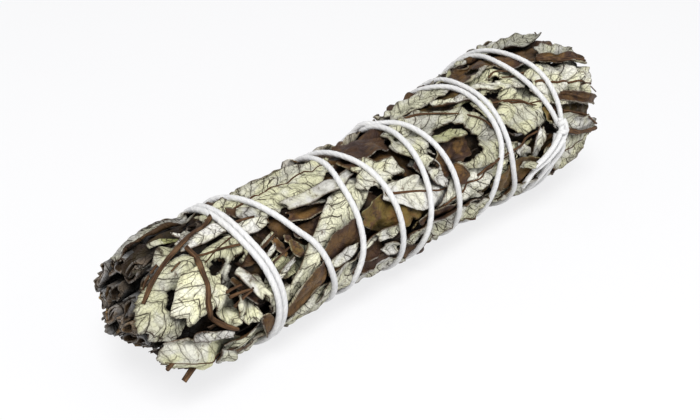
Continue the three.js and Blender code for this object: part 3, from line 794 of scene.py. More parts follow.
# Behind and below.
open_gap((-40, 205), (-34, 200), (-30, 208), (-35, 216), (-42, 213))
open_gap((2, 168), (9, 165), (14, 171), (8, 176))
open_gap((20, 225), (28, 221), (33, 228), (25, 233))
open_gap((-12, 272), (-4, 268), (2, 276), (-6, 282))
scrap(TORN, "brown", -41, 196, -28, 210, 5)
scrap(EDGED, "pale", -12, 165, 12, 180, 5)
scrap(EDGED, "brown", -8, 262, 12, 282, 5)
scrap(TORN, "pale", 18, 216, 40, 236, 6)
scrap(TUBE, "pale", -48, 262, -28, 276, 5)
scrap(TORN, "brown", 30, 268, 52, 276, 6)
scrap(EDGED, "pale", 30, 170, 58, 178, 6)
scrap(EDGED, "brown", -44, 160, -20, 172, 6)
scrap(TORN, "pale", -16, 222, 2, 236, 6)
scrap(EDGED, "brown", 12, 322, 30, 330, 5)

# The butt's upper side: a dark rolled leaf over a hollow.
lay("leaf_21", "pale", -40.5, -2, -9.9, 2, 11, warm=0.75, pleats=0.9)
scrap(TORN, "pale", -41, 8, -57.5, 13, 4.5, light=0.62)
scrap(EDGED, "pale", -40, -21, -57, -22, 4.2, light=0.7, bulge=0.9, over=1.5)
open_gap((-58, -9), (-50, -11.5), (-44.5, -11), (-42.3, -6), (-42.8, 2), (-47, 7), (-58, 5))
scrap(EDGED, "dark", -43, -5, -56, -6, 2.4, green=0.4, light=0.4, over=1)
open_gap((-46, -5), (-43.8, -8), (-42.5, -3), (-43.2, 1), (-46, 3))
lay("leaf_20", "dark", -46.5, 4, -58, 2, 4, rolled=(0.8, 0.8), share=0.5, over=2.5, ends=(0.6, 0.8),
    green=0.3, light=0.42)
# A greenish-yellow scrap in the dark roll, standing in for a glint: a painted highlight.
scrap(TORN, "pale", -51.5, -1, -46.6, 2, 1.3, warm=1, green=1, light=0.8)
scrap(TORN, "pale", -47.4, -1, -45.6, 5, 1, light=1.1)

# The butt's front.
lay("leaf_24", "pale", -27.5, 54, -37, 100, 10, warm=0.55, rolled=FLAT, ends=(0.5, 0.5))
lay("leaf_25", "pale", -37, 22, -63, 49, 13.5, ends=(0.4, 0.8), rolled=FLAT, warm=0.75, over=0.6, rib=0.35,
    pleats=0.6, light=0.86)
open_gap((-46, 17), (-42.5, 16.5), (-39.5, 18), (-39.5, 21.5), (-43, 21), (-45.8, 20))
scrap(EDGED, "pale", -37, 13, -49, 13.5, 3, light=1.05)
open_gap((-45, 34), (-42.7, 37), (-45.4, 44), (-45.2, 51), (-49.2, 55), (-48.4, 46), (-47, 41))
open_gap((-41.6, 39), (-39.4, 40), (-42.8, 53), (-44.6, 51))
open_gap((-54.4, 35), (-55.8, 42), (-57.6, 52), (-55.4, 51), (-54, 43))
open_gap((-53, 69), (-50.6, 69), (-50.8, 78), (-53.4, 77))
open_gap((-57.5, 71), (-52, 75), (-49, 85), (-46, 97), (-43, 104), (-47.4, 106), (-51.4, 97), (-56, 84))
open_gap((-43, 94), (-37.5, 92), (-36, 108), (-38, 124), (-41.5, 116), (-46, 104))
lay("leaf_23", "pale", -46.8, 40, -56, 62, 7.6, warm=0.9, ends=(0.5, 0.7), bulge=0.9, rolled=FLAT, rib=0,
    light=1.08)
scrap(TORN, "pale", -48.8, 52, -45.6, 89, 4.4, warm=1.0, light=1.1, rolled=FLAT)
scrap(TORN, "pale", -40.5, 56, -42.5, 94, 6.5, warm=0.9, rolled=(0, 0.4))
scrap(EDGED, "brown", -43.8, 57, -39.8, 83, 1.6)
scrap(TUBE, "pale", -43.4, 48, -38, 84, 2.4, light=1.05, smooth=0.6)
lay("leaf_22", "pale", -44, 119, -61.8, 86, 9.5, warm=0.75, rolled=(0, 0.7), share=0.2, ends=(0.4, 0.75),
    over=0.5, rib=0.35, bulge=0.7, smooth=0.35, green=0.25)
scrap(EDGED, "pale", -36, 117, -49, 103, 3)
scrap(EDGED, "brown", -37, 125, -48, 113, 1.6)
scrap(TORN, "pale", -49, 100, -47.5, 124, 3.4, raised=0.6, light=0.9)
open_gap((-40.8, 78), (-39, 76), (-37.6, 88), (-38.6, 95), (-40.4, 90))
scrap(EDGED, "pale", -55, 76, -47, 92, 1.8, light=0.9)
scrap(EDGED, "brown", -39, 98, -37, 124, 2.5)

# Crumbled leaves between the first two rings.
open_gap((-37.6, 29), (-34.8, 27), (-33.4, 35), (-33.4, 46), (-36.4, 43), (-37.6, 36))
open_gap((-33, 25), (-31, 27), (-30.4, 39), (-32.2, 37))
open_gap((-33, 46), (-31, 42), (-28.6, 50), (-30, 61), (-33.5, 57))
open_gap((-34.8, 61), (-33.4, 61), (-31.8, 74), (-31.4, 86), (-33.6, 80))
scrap(TORN, "pale", -36, 60, -30.6, 73, 4, green=0.4, warm=0.8, rolled=FLAT)
scrap(TORN, "brown", -32.5, 41, -31.7, 59, 2.0, name="leaf_29", curl=(0.7, 0.4), warm=1, light=1.8)
scrap(EDGED, "pale", -37.8, 47, -31.6, 37, 1.1, light=0.85, warm=0.9)
scrap(EDGED, "pale", -37, 54, -33.2, 46, 0.9, light=0.9)
scrap(TORN, "brown", -31, 44, -28.6, 51, 1.6, warm=1, light=1.4)
scrap(TORN, "brown", -30.6, 49, -28.8, 64, 1.9, warm=1, green=0.6, light=1.3)
scrap(EDGED, "pale", -35, 70, -30.8, 62, 1.1, light=0.95)
scrap(EDGED, "brown", -36, 0, -30.5, 27, 2.4, light=0.9)
scrap(TORN, "pale", -35.4, 9, -30.2, 23, 3.2, light=0.85)
scrap(TORN, "pale", -38, 20, -32.6, 26, 3)

# The folded brown leaf and the pale ones beside it.
open_gap((-25, 22), (-18.5, 19), (-15.5, 28), (-26.5, 52), (-27.5, 46), (-26, 33))
scrap(PLAIN, "brown", -27.6, 48, -18.6, 43, 5.4, cell=0.4, rolled=FLAT, light=0.9)
open_gap((-27.4, 37), (-19.6, 40.5), (-20, 43), (-26.6, 40))
scrap(EDGED, "brown", -27, 32, -17.6, 36.5, 3, name="leaf_26", light=1.35, warm=0.8, rib=0.3)
scrap(TORN, "pale", -22.8, 26.5, -18, 33, 1.7, light=0.9)
lay("leaf_43", "brown", -27.5, 90, -7, 50, 9, rolled=FLAT, pleats=0.7)
lay("leaf_27", "pale", -8, 28, -33, 92, 7.2, warm=0.4, rib=0, rolled=FLAT, ends=(0.85, 0.4), ragged=0.04,
    torn=(0.2, 0.3))
scrap(PLAIN, "brown", -24.5, 79, -12.5, 63, 5.4, rolled=FLAT, ragged=0.16, warm=0.2)
scrap(TUBE, "pale", -5.6, 17.5, -26.4, 24, 2.9, name="leaf_28", bend=-1.2, light=1.05, smooth=0.75,
      ends=(0.95, 0.85))
lay("leaf_04", "brown", -7, -4, 7, 52, 11, warm=1, ends=(0.7, 0.4), rolled=FLAT, pleats=0.25)
scrap(TORN, "brown", -6, -8, 3.6, 12, 8, rolled=(0, 0.35), share=0.15, ragged=0.12)
lay("leaf_30", "pale", -9.5, 27, 1.5, 40, 7.4, rib=0, warm=0.9, ragged=0.22, ends=(0.8, 0.6))
lay("leaf_31", "brown", -13, 62, 12, 92, 9, green=0.9, light=1.1, warm=0.6, rolled=FLAT)
open_gap((-2.5, 44), (0.5, 43), (3, 51), (-0.5, 50))
open_gap((-13.4, 82), (-9, 83), (-7, 88), (-11, 92))
open_gap((-3.6, 91), (0.6, 87), (3, 92), (-1.4, 99))
lay("leaf_32", "pale", -6.3, 52, 16.2, 86, 6.8, warm=0.05, rib=0.6, light=1.2, rolled=FLAT,
    ends=(0.35, 0.6), margin=0.3, smooth=0.45)
scrap(EDGED, "pale", 5.2, 40, 16, 76, 3, name="leaf_33", rolled=(0, 0.5))
scrap(TORN, "brown", 5.6, 22, 12, 50, 3)
scrap(EDGED, "pale", 8.6, 24, 12, 46, 2.2)
lay("leaf_34", "pale", 8.1, 91, 34, 74, 9, rolled=FLAT, warm=0.45, ends=(0.4, 0.3))
scrap(PLAIN, "pale", -19, 118, -33.5, 128, 8, warm=0.5)
scrap(PLAIN, "brown", -23.4, 84, -33.8, 105, 5.4, rolled=(0.3, 0.5), ends=(0.5, 0.5))
scrap(PLAIN, "pale", -24.5, 119, -13.6, 98, 6.5, warm=0.4, rolled=FLAT)
open_gap((-22, 90), (-16, 83.5), (-14.6, 85), (-21, 94))
scrap(EDGED, "brown", -22.8, 92, -15.2, 85, 1.5)
scrap(TORN, "pale", -22.6, 86, -15.8, 80.5, 2.7, rolled=FLAT)
scrap(PLAIN, "pale", -15, 130, -1, 126, 6)
scrap(TORN, "brown", -15.4, 107, -5.6, 110, 3.6)
open_gap((-12.6, 101), (-9, 103), (-9.6, 107), (-12.4, 106))
scrap(EDGED, "brown", -14.6, 95, -8, 98, 3.2)
scrap(TUBE, "pale", -13.8, 87, -8.8, 83, 1.3, light=1.05)
scrap(TORN, "pale", -10.6, 83.5, -3.4, 87.5, 3.2)
scrap(TORN, "pale", -9, 96, -4, 106, 2.8)
scrap(TORN, "brown", 2, 92, 14, 98, 2.4, warm=0.5)
scrap(PLAIN, "pale", -2, 105, 27, 112, 6, warm=0.6)
open_gap((13, 98), (15.5, 97), (16, 101), (13.6, 102))
open_gap((19, 103), (21.6, 102), (21.4, 107), (19.4, 107))

# Around the hole.
open_gap((10.5, 30), (16.5, 20), (23, 28), (24, 40), (27, 55), (20, 60), (15, 60), (11, 48))
scrap(TORN, "brown", 10.5, 58, 21, 46, 7.2, warm=1, light=1.1, rolled=FLAT)
scrap(TORN, "pale", 12.6, 30, 21.4, 40.5, 3.2, warm=1, green=0.5, light=0.9, ragged=0.3)
scrap(PLAIN, "pale", 12, -20, 30, -8, 7, rolled=FLAT)
lay("leaf_35", "pale", 4, 8, 29, 62, 14.5, ends=(0.4, 0.6), warm=0.45, rolled=FLAT, ragged=0.05, rib=0,
    hole=[(9, 40), (12.6, 30), (16.4, 22.5), (19.4, 26), (21.9, 33), (20.8, 38.5), (23.8, 45),
          (24.2, 52), (22, 59), (19, 64), (15.6, 60), (13.6, 66), (7, 72), (2, 58)])
scrap(TORN, "pale", 6.4, 40, 10.4, 56, 2.6, light=0.95, ragged=0.3)
scrap(EDGED, "brown", 4.6, 42, 7, 58, 1.6)
scrap(TORN, "pale", 7, 55, 10.6, 72, 2.8, light=1.0, ragged=0.3)
open_gap((8.4, 50), (9.8, 48), (10.4, 56), (9, 58))
scrap(EDGED, "pale", 15.8, 62, 16.8, 78, 1.2, light=1.1)
scrap(TORN, "brown", 13.4, 61, 16.6, 79, 3.6, warm=0.8)

# Between the middle rings and the knot.
lay("leaf_36", "pale", 27.5, 24, 50, 58, 13.5, warm=0.75, rolled=FLAT, light=1.05)
lay("leaf_37", "pale", 31, 7, 52, 24, 9.5, warm=0.5, rib=0.55, rolled=FLAT)
scrap(TORN, "brown", 31, -5, 42, -4, 8, light=0.8)
open_gap((34.4, -8), (37, -12), (38.4, -4), (36, 2))
scrap(EDGED, "pale", 19, 4, 29, 16, 2)
open_gap((31, 23), (33, 20), (37, 24), (34.6, 28), (32.6, 38), (31.4, 37), (32, 29))
open_gap((36, 11), (39.8, 11.5), (38.8, 17), (36.2, 16))
open_gap((39.4, 65), (41.4, 72), (38.8, 81), (36.8, 79), (38.2, 72))
open_gap((20, 96), (26, 91), (29.5, 95), (23, 101))
open_gap((30, 82), (32.6, 80), (33, 88), (30.6, 88))
scrap(TORN, "pale", 32.4, 72, 37, 86, 3)
scrap(TORN, "pale", 41, 66, 40, 92, 4, light=1.1)
scrap(PLAIN, "brown", 25.5, 97, 41, 97, 7.5, warm=0.7, green=0.5)
scrap(TORN, "pale", 33, 88, 38.6, 96, 2.2, light=0.9)
scrap(PLAIN, "pale", 30, 118, 44, 122, 6)

# The tips.
lay("leaf_38", "pale", 41, 96, 65.2, 106, 11, ends=(0.4, 0.6), rib=0.35, warm=0.4)
lay("leaf_39", "brown", 44, 60, 62.5, 78, 7, green=1, light=1.5, ends=(0.5, 0.7), warm=1)
scrap(PLAIN, "brown", 44, 31, 65, 37, 7.5, light=0.7, ends=(0.6, 0.85), rolled=FLAT, curl=(0, 0))
lay("leaf_40", "pale", 44, 33, 64.4, 57, 11.5, rib=0.7, ends=(0.5, 0.8), warm=0.55, rolled=FLAT)
lay("leaf_41", "brown", 42.3, 4, 63, 6, 9, rolled=(0, 0.9), ends=(0.5, 0.6))
lay("leaf_42", "pale", 41, -28, 65.4, -20, 9, rolled=(0.9, 0.4), share=0.35, rib=0, ends=(0.6, 0.85),
    light=0.85)
scrap(PLAIN, "pale", 47, -9, 61.4, -7, 5, warm=0.1, light=0.72, ends=(0.6, 0.85), rolled=(0.4, 0))
scrap(TORN, "pale", 53, 14, 65.2, 26, 5.4, light=0.95, ends=(0.5, 0.8))
scrap(EDGED, "brown", 51, 19, 65, 37, 2.8, warm=0.8)
scrap(EDGED, "brown", 49, 51, 64, 72, 3, warm=0.7)
scrap(PLAIN, "pale", 45.5, 68, 65.6, 97, 5.5, rolled=(0.6, 0.6), share=0.4, ends=(0.5, 0.35), cell=0.4)
scrap(PLAIN, "pale", 46, -60, 64, -54, 9)
scrap(PLAIN, "brown", 48, 160, 63, 166, 8)
scrap(PLAIN, "pale", 48, 222, 64, 228, 8)
scrap(PLAIN, "brown", 46, 274, 64, 268, 7, rolled=(0.7, 0.5))

# Crumbs in the hollows of the back and the underside.
crumb_rng, depth = np.random.default_rng(78), widened(cover, 6) - cover
for number in range(120):
    x, angle = crumb_rng.uniform(-48, 48), crumb_rng.uniform(165, 318)
    run, turn, width = crumb_rng.uniform(-3, 3), crumb_rng.uniform(-11, 11), crumb_rng.uniform(0.8, 1.7)
    if read(depth, np.array(x), np.array(angle)) > 1.3:
        face = ("pale", "brown")[number % 2]
        light = crumb_rng.uniform(0.7, 1.2)
        scrap(TORN, face, x, angle, x + run, angle + turn, width, light=light)


# Pressed by the twine ----------------------------------------

GROOVE_FLOOR, GROOVE_SLOPE = 3.3, 1.1  # heights under the twine, and how they rise beside it
SOFT_TOP = 0.8  # how far heights over the full stack are let stand out at most
stack = np.maximum(softened(widened(cover, 3), 3), 0.5)
held = LEAF_STACK / stack
loose = 0.7 * np.maximum(LEAF_STACK - stack, 0) * (1 - softened(hollow, 1))


def settled(height, x, angle):
    """A height among the leaves, pressed where the stack is thick and lifted where it is thin."""
    over = read(stack, x, angle) > LEAF_STACK
    return np.where(over, height * read(held, x, angle), height + read(loose, x, angle))


settled_cover = settled(cover, every_x, every_angle)
groove = GROOVE_FLOOR + GROOVE_SLOPE * np.maximum(to_strand - 0.5, 0)
squeeze = softened(np.minimum(1, groove / np.maximum(widened(settled_cover, 1), 0.5)), 1)


def pressed(height, x, angle):
    """A settled height, pressed into the groove beside the twine."""
    down = settled(height, x, angle) * read(squeeze, x, angle)
    down = np.minimum(down, read(groove, x, angle) + 0.1)
    above = np.maximum(down - LEAF_STACK, 0)
    return down - above + SOFT_TOP * np.tanh(above / SOFT_TOP)


surface = np.minimum(settled_cover * squeeze, groove)
near_level, wide_level = softened(surface, 1), softened(widened(surface, 1), 4)
lying_level = softened(widened(surface, 1), 2)


# Leaf pieces ----------------------------------------

def longest_run(flags):
    """First and last of the longest row of true values."""
    best, start = (0, 0), None
    for index, flag in enumerate(list(flags) + [False]):
        if flag and start is None:
            start = index
        elif not flag and start is not None:
            best = max(best, (start, index), key=lambda ends: ends[1] - ends[0])
            start = None
    return best


def torn_edge(kept):
    """How much is missing around each corner of a grid of cells."""
    there = np.pad(kept, 1, mode="edge").astype(float)
    return np.minimum(1, 2 - 2 * middles(there))


def per_point(*fields):
    """Fields over a grid, side by side: one row for each point."""
    return np.stack(np.broadcast_arrays(*fields), -1).reshape(-1, len(fields))


def leaf_body(body, leaf):
    """Adds a laid leaf, settled and pressed, and its rib where that shows."""
    x, angle = leaf["x"], leaf["angle"]
    height = pressed(leaf["height"], x, angle)
    points = spot(x, angle, base_radius(x, angle) + height)
    points[..., 2] = np.maximum(points[..., 2], LEAF_THICKNESS / 2 + 0.05)
    both, faces, used, total = sheet_of(points, LEAF_THICKNESS, leaf["kept"])
    at = used % total
    blade = per_point(leaf["along"], leaf["across"], leaf["number"])
    # How far a point lies below the leaves around it: it darkens the leaf as painted shade in gaps and
    # hollows.
    painted_shade_depth = np.clip((read(wide_level, x, angle) - height - 0.35) / 2.0, 0, 1)
    painted_shade_depth = np.clip(painted_shade_depth + 0.5 * np.clip(read(near_level, x, angle) - height, 0, 0.8), 0, 1)
    form = per_point(leaf["veins"], painted_shade_depth, leaf["smooth"])
    shows_resin = leaf["face"] != "pale"
    resinous = np.where(used < total, shows_resin, not shows_resin).astype(float)
    margin = np.maximum(leaf["margin"], torn_edge(leaf["kept"]))
    side = per_point(resinous, 0, margin.ravel()[at])
    body.add(both, faces, blade=blade[at], side=side, tint=leaf["tint"], form=form[at])
    middle = points.shape[1] // 2
    start, stop = longest_run(leaf["kept"][:, middle - 1:middle + 1].all(axis=1))
    if leaf["rib"] and not shows_resin and stop - start > 8:
        normals = np.cross(np.gradient(points, axis=1), np.gradient(points, axis=0))[:, middle]
        normals /= np.linalg.norm(normals, axis=1, keepdims=True)
        path = (points[:, middle] + normals * (LEAF_THICKNESS / 2 + 0.02))[start + 1:stop]
        radius = leaf["rib"] / 2 * np.linspace(1, 0.45, len(path))
        tube, ring_faces, marks = tube_along(path, radius, 6)
        body.add(tube, ring_faces, blade=marks, side=(0, 1, 0), tint=leaf["tint"])


SLOTS = {"pale": "pale_leaf", "brown": "brown_leaf", "dark": "dark_leaf"}
bodies = {}
for leaf in laid:
    body, _ = bodies.setdefault(leaf["name"], (Body(), leaf["face"]))
    leaf_body(body, leaf)
for name, (body, face) in bodies.items():
    is_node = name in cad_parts
    body.piece("dried_" + name if is_node else name, SLOTS[face], (name,) if is_node else ())


# Rolled leaves inside ----------------------------------------

def roll_leaf(body, angle, away, radius, from_x, to_x, rng, open_near, deep=LEAF_STACK + 0.35):
    """A leaf rolled along the stick, like a scroll whose middle stays open.

    open_near says whether its end at the butt is the one that shows; deep is how far below the
    bundle's surface it keeps.
    """
    turns = rng.uniform(1.3, 1.8)
    span = np.linspace(0, 1, round(15 * turns))
    even = np.linspace(0, 1, 36)
    share = even ** 1.8 if open_near else 1 - (1 - even) ** 1.8
    along, around = np.meshgrid(share, span, indexing="ij")
    sense, start = rng.choice([-1, 1]), rng.uniform(0, 2 * pi)
    waver = ripples(rng, 12)
    x_even = from_x + (to_x - from_x) * along
    turn = start + sense * around * turns * 2 * pi + 0.5 * waver(x_even, 0 * along)
    size = radius * (1 - 0.55 * around) * (1 + 0.1 * waver(x_even, 9 * around))
    squash, lean = rng.uniform(0.65, 0.95), rng.uniform(0, pi)
    ahead, beside = size * np.cos(turn), size * squash * np.sin(turn)
    out = away + ahead * cos(lean) - beside * sin(lean)
    over = ahead * sin(lean) + beside * cos(lean)
    at_radius = np.hypot(out, over)
    at_angle = angle + np.degrees(np.arctan2(over, out))
    ragged = ripples(rng, 3.2)
    unrolled = around * turns * 6.3 * radius
    jut = rng.uniform(-0.7, 0.7) + 0.35 * ragged(unrolled, 0 * along)
    if open_near:
        end = butt_face(at_angle, at_radius) + jut
        x = end + (to_x - end) * along
        inwards = x - end
    else:
        x = from_x + (to_x + 1.5 * jut - from_x) * along
        inwards = to_x - x
    surface_radius = bundle_radius(np.clip(x, BUTT_X + 0.5, GRID_END), at_angle)
    at_radius = np.minimum(at_radius, surface_radius - deep)
    points = spot(x, at_angle, at_radius)
    points[..., 2] = np.maximum(points[..., 2], 0.25)
    both, faces, used, total = sheet_of(points, 0.4)
    at = used % total
    marks = per_point(x - from_x, unrolled, angle % 7)
    resinous = np.where((used < total) == (sense > 0), 0.0, 1.0)
    # The sheet darkens inwards from its open end: painted shade deep among the rolled leaves.
    form = per_point(x / VEIN_PITCH, np.clip(inwards / 1.7, 0, 1) ** 0.8, 0)
    # The rolls at the back of the butt's rim are golden.
    golden = open_near and 180 < angle % 360 < 290 and away > 9
    tint = (rng.uniform(0, 0.7) + 1.1 * golden, rng.uniform(0.3, 1.2) + 0.8 * golden, 0.2 * golden)
    body.add(both, faces, blade=marks[at], side=per_point(resinous, 0, 0), tint=tint, form=form[at])


# Angle, distance from the axis and radius of the rolls in a quarter of the bundle.
ROLLS = [(25, 6.9, 1.75), (50, 6.6, 1.85), (75, 6.9, 1.75), (28, 3.7, 1.4), (72, 3.7, 1.4)]
# In each quarter: where the near rolls end, and where the far ones start and end.
QUARTERS = [(-2, 0, 58), (-5, -3, 60), (1, 3, 57), (-4, -2, 61)]
for quarter, (near_end, far_start, far_end) in enumerate(QUARTERS):
    rng = np.random.default_rng([quarter, 5])
    near, far = Body(), Body()
    for turn, away, size in ROLLS:
        turn += 90 * quarter
        roll_leaf(near, turn, away, size, BUTT_X, near_end, rng, True)
        roll_leaf(far, turn, away, size, far_start, far_end, rng, False)
    near.piece(f"rolled_leaves_near_{quarter + 1}", "dark_leaf", (f"inner_leaf_near_{quarter + 1}",))
    far.piece(f"rolled_leaves_far_{quarter + 1}", "dark_leaf", (f"inner_leaf_far_{quarter + 1}",))
rim, rng = Body(), np.random.default_rng(31)
for turn in range(112, 392, 18):
    roll_leaf(rim, turn + rng.uniform(-3, 3), 10.9, 1.75, BUTT_X, -44, rng, True, deep=0.5)
rim.piece("rolled_leaves_rim", "dark_leaf")
tips, rng = Body(), np.random.default_rng(32)
for turn in range(0, 360, 24):
    turn += rng.uniform(-4, 4)
    roll_leaf(tips, turn, 11.6, 1.9, 44, 61 + rng.uniform(-1.5, 1.5), rng, False, deep=0.9)
tips.piece("rolled_leaves_tips", "dark_leaf")


# Stems and twigs ----------------------------------------

def stalk(body, way, diameter, rng, taper=0.3, sides=12):
    """A woody stalk through spots on the bundle: x and angle to lie on the leaves, or a radius too."""
    x, angle, *radius = np.array(way, float).T
    steps = np.hypot(np.diff(x), np.diff(angle) * 0.25)
    lengths = np.concatenate([[0], np.cumsum(steps)])
    wanted = np.linspace(0, lengths[-1], max(10, round(lengths[-1] / 0.4)))
    x, angle, *radius = [smooth_through(lengths, knots, wanted) for knots in (x, angle, *radius)]
    if radius:
        radius = radius[0]
    else:
        radius = base_radius(x, angle) + read(lying_level, x, angle) + diameter / 2
    knots = ripples(rng, 9)
    size = diameter / 2 * (1 - taper * wanted / wanted[-1]) * (1 + 0.1 * knots(wanted, 0))
    grooved = 1 + 0.09 * ripples(rng, 3)(wanted[:, None] * 0.3, np.arange(sides)[None, :] * 1.1)
    path = spot(x, angle, radius)
    path[:, 2] = np.maximum(path[:, 2], diameter / 2 + 0.1)
    tube, faces, marks = tube_along(path, size, sides, grooved)
    body.add(tube, faces, blade=marks + (0, 0, rng.uniform(0, 5)), tint=(0, 1, 0))


# Angle, distance from the axis, first and last x, and diameter.
STEMS = {
    "stem_centre": (0, 0, -58.5, 60, 3.0),
    "stem_lower": (102, 8.4, -57.5, 52, 2.2),
    "stem_back": (185, 6.4, -52, 61, 2.2),
    "stem_upper": (275, 6.4, -57, 58, 2.4),
}
# Diameter, then the spots that each goes through.
TWIGS = {
    "twig_near_long": (0.95, (-38.5, -2), (-40.8, 3), (-47.5, 12.5), (-52.5, 18.5), (-56.5, 26),
                       (-60.4, 38)),
    "twig_near_bent": (1.0, (-48.3, 17), (-48, 26), (-48.8, 36), (-49.4, 48), (-51, 61),
                       (-49.8, 76), (-46.4, 89)),
    "twig_far_upper": (0.9, (50, 20), (55, 27), (60, 33), (64.4, 37)),
    "twig_far_lower": (1.1, (47, 76), (53, 85), (59, 92), (65, 100)),
}
LEAF_STALKS = [
    (0.6, (-46.8, 59), (-43.4, 60)),
    (0.6, (-46.2, 64), (-41.5, 66)),
    (0.55, (-46, 72), (-41.7, 67)),
    (0.5, (-37.4, 46), (-30.8, 37)),
    (0.45, (-36.6, 59), (-30.8, 53)),
    (0.6, (-38.5, 14), (-33.5, 20)),
    (0.5, (57, 46), (61.5, 54), (64.4, 60), (66.2, 66)),
    (0.7, (49, 63), (56, 74), (64.6, 95)),
    (0.6, (20, 80), (26, 74), (31.5, 73), (39.4, 68)),
    (0.5, (11, -2), (15.3, 6), (21.9, 22), (27.9, 44), (29.4, 55)),
    (0.5, (-39.6, 34), (-45.6, 28), (-49.2, 24), (-53.4, 28)),
    (0.45, (-54, 16), (-56.7, 20), (-58.5, 27)),
    (0.5, (31.5, 28), (33.6, 32), (37.5, 38), (42.9, 50)),
    (0.5, (37, 10), (39.3, 8), (45.3, 24)),
    (0.5, (49.8, 50), (54, 57), (57.9, 64)),
    (0.8, (-50, 250), (-42, 262), (-34, 268)),
    (0.8, (8, 205), (18, 214), (28, 216)),
    (0.7, (-20, 180), (-12, 190), (-2, 194)),
    (0.9, (34, 285), (46, 292), (60, 290)),
]
# Two that stand out of the butt's lower rim.
STUBS = [
    (0.8, (-52, 90, 9.5), (-57, 91, 11.4), (-60.5, 93, 12.4)),
    (1.2, (-49, 98, 10), (-54, 106, 12.2), (-57, 115, 13)),
]
for number, (name, (angle, away, start, stop, diameter)) in enumerate(STEMS.items()):
    body = Body()
    way = [(x, angle, away) for x in np.linspace(start, stop, 8)]
    stalk(body, way, diameter, np.random.default_rng([number, 7]))
    body.piece("sprig_" + name, "stem", (name,))
for number, (name, (diameter, *way)) in enumerate(TWIGS.items()):
    body = Body()
    stalk(body, way, diameter, np.random.default_rng([number, 8]))
    body.piece("dry_" + name, "stem", (name,))
body = Body()
for number, (diameter, *way) in enumerate(LEAF_STALKS):
    stalk(body, way, diameter, np.random.default_rng([number, 9]), sides=8)
for number, (diameter, *way) in enumerate(STUBS):
    stalk(body, way, diameter, np.random.default_rng([number, 10]), taper=0.1)
body.piece("leaf_stalks", "stem")


# Twine ----------------------------------------

class Tree:
    """A Geometry Nodes tree under construction."""

    def __init__(self, name, inputs):
        self.tree = bpy.data.node_groups.new(name, "GeometryNodeTree")
        sockets = self.tree.interface
        self.keys = {}
        sockets.new_socket("Geometry", in_out="INPUT", socket_type="NodeSocketGeometry")
        for label, (kind, value) in inputs.items():
            socket = sockets.new_socket(label, in_out="INPUT", socket_type="NodeSocket" + kind)
            if value is not None:
                socket.default_value = value
            self.keys[label] = socket.identifier
        sockets.new_socket("Geometry", in_out="OUTPUT", socket_type="NodeSocketGeometry")
        self.given = self.tree.nodes.new("NodeGroupInput")

    def node(self, kind, inputs=(), **settings):
        return new_node(self.tree, kind, inputs, settings).outputs

    def maths(self, operation, first, second=0.0):
        return self.node("ShaderNodeMath", {0: first, 1: second}, operation=operation)[0]

    def stored(self, geometry, name, value, kind="FLOAT"):
        """The geometry with an attribute of its points."""
        inputs = {"Geometry": geometry, "Name": name, "Value": value}
        return self.node("GeometryNodeStoreNamedAttribute", inputs, data_type=kind, domain="POINT")[0]

    def named(self, name):
        return self.node("GeometryNodeInputNamedAttribute", {"Name": name}, data_type="FLOAT")[0]

    def result(self, geometry):
        self.node("NodeGroupOutput", {0: geometry})

    def applied(self, source, name, **values):
        """The tree's result on an object, as a new object with a plain mesh."""
        modifier = source.modifiers.new(name, "NODES")
        modifier.node_group = self.tree
        for label, value in values.items():
            modifier[self.keys[label]] = value
        evaluated = source.evaluated_get(bpy.context.evaluated_depsgraph_get())
        mesh = bpy.data.meshes.new_from_object(evaluated)
        mesh.name = name
        bpy.data.objects.remove(source)
        made = bpy.data.objects.new(name, mesh)
        bpy.context.collection.objects.link(made)
        return made


def twisted_twine_tree():
    """A cord whose three plies show as lobes that twist along every curve."""
    tree = Tree("twisted_twine", {
        "radius": ("Float", 0.00056), "ply_depth": ("Float", 0.08), "pitch": ("Float", 0.005),
        "sides": ("Int", 18), "look": ("Material", None),
    })
    given = tree.given.outputs
    length = tree.node("GeometryNodeSplineParameter")["Length"]
    turn = tree.maths("MULTIPLY", tree.maths("DIVIDE", length, given["pitch"]), 2 * pi)
    marked = tree.stored(given["Geometry"], "run", tree.maths("MULTIPLY", length, 1 / MM))
    tilted = tree.node("GeometryNodeSetCurveTilt", {"Curve": marked, "Tilt": turn})[0]
    ring = tree.node("GeometryNodeCurvePrimitiveCircle",
                     {"Resolution": given["sides"], "Radius": given["radius"]})[0]
    factor = tree.node("GeometryNodeSplineParameter")["Factor"]
    lobe = tree.maths("ABSOLUTE", tree.maths("SINE", tree.maths("MULTIPLY", factor, 3 * pi)))
    lobe = tree.maths("POWER", lobe, 0.7)
    swell = tree.maths("ADD", tree.maths("MULTIPLY", lobe, given["ply_depth"]), 1.0)
    place = tree.node("GeometryNodeInputPosition")[0]
    place = tree.node("ShaderNodeVectorMath", {0: place, "Scale": swell}, operation="SCALE")[0]
    ring = tree.node("GeometryNodeSetPosition", {"Geometry": ring, "Position": place})[0]
    ring = tree.stored(ring, "ring", factor)
    tube = tree.node("GeometryNodeCurveToMesh",
                     {"Curve": tilted, "Profile Curve": ring, "Fill Caps": True})[0]
    blade = tree.node("ShaderNodeCombineXYZ", {0: tree.named("run"), 1: tree.named("ring")})[0]
    tube = tree.stored(tube, "blade", blade, "FLOAT_VECTOR")
    tube = tree.node("GeometryNodeSetShadeSmooth", {0: tube})[0]
    tube = tree.node("GeometryNodeRealizeInstances", {0: tube})[0]
    tree.result(tree.node("GeometryNodeSetMaterial", {"Geometry": tube, "Material": given["look"]})[0])
    return tree


def curve_of(name, paths):
    """A curve object with one open spline through each path of points."""
    curve = bpy.data.curves.new(name, "CURVE")
    curve.dimensions = "3D"
    for path in paths:
        spline = curve.splines.new("POLY")
        spline.points.add(len(path) - 1)
        spline.points.foreach_set("co", np.column_stack([path * MM, np.ones(len(path))]).ravel())
    made = bpy.data.objects.new(name, curve)
    bpy.context.collection.objects.link(made)
    return made


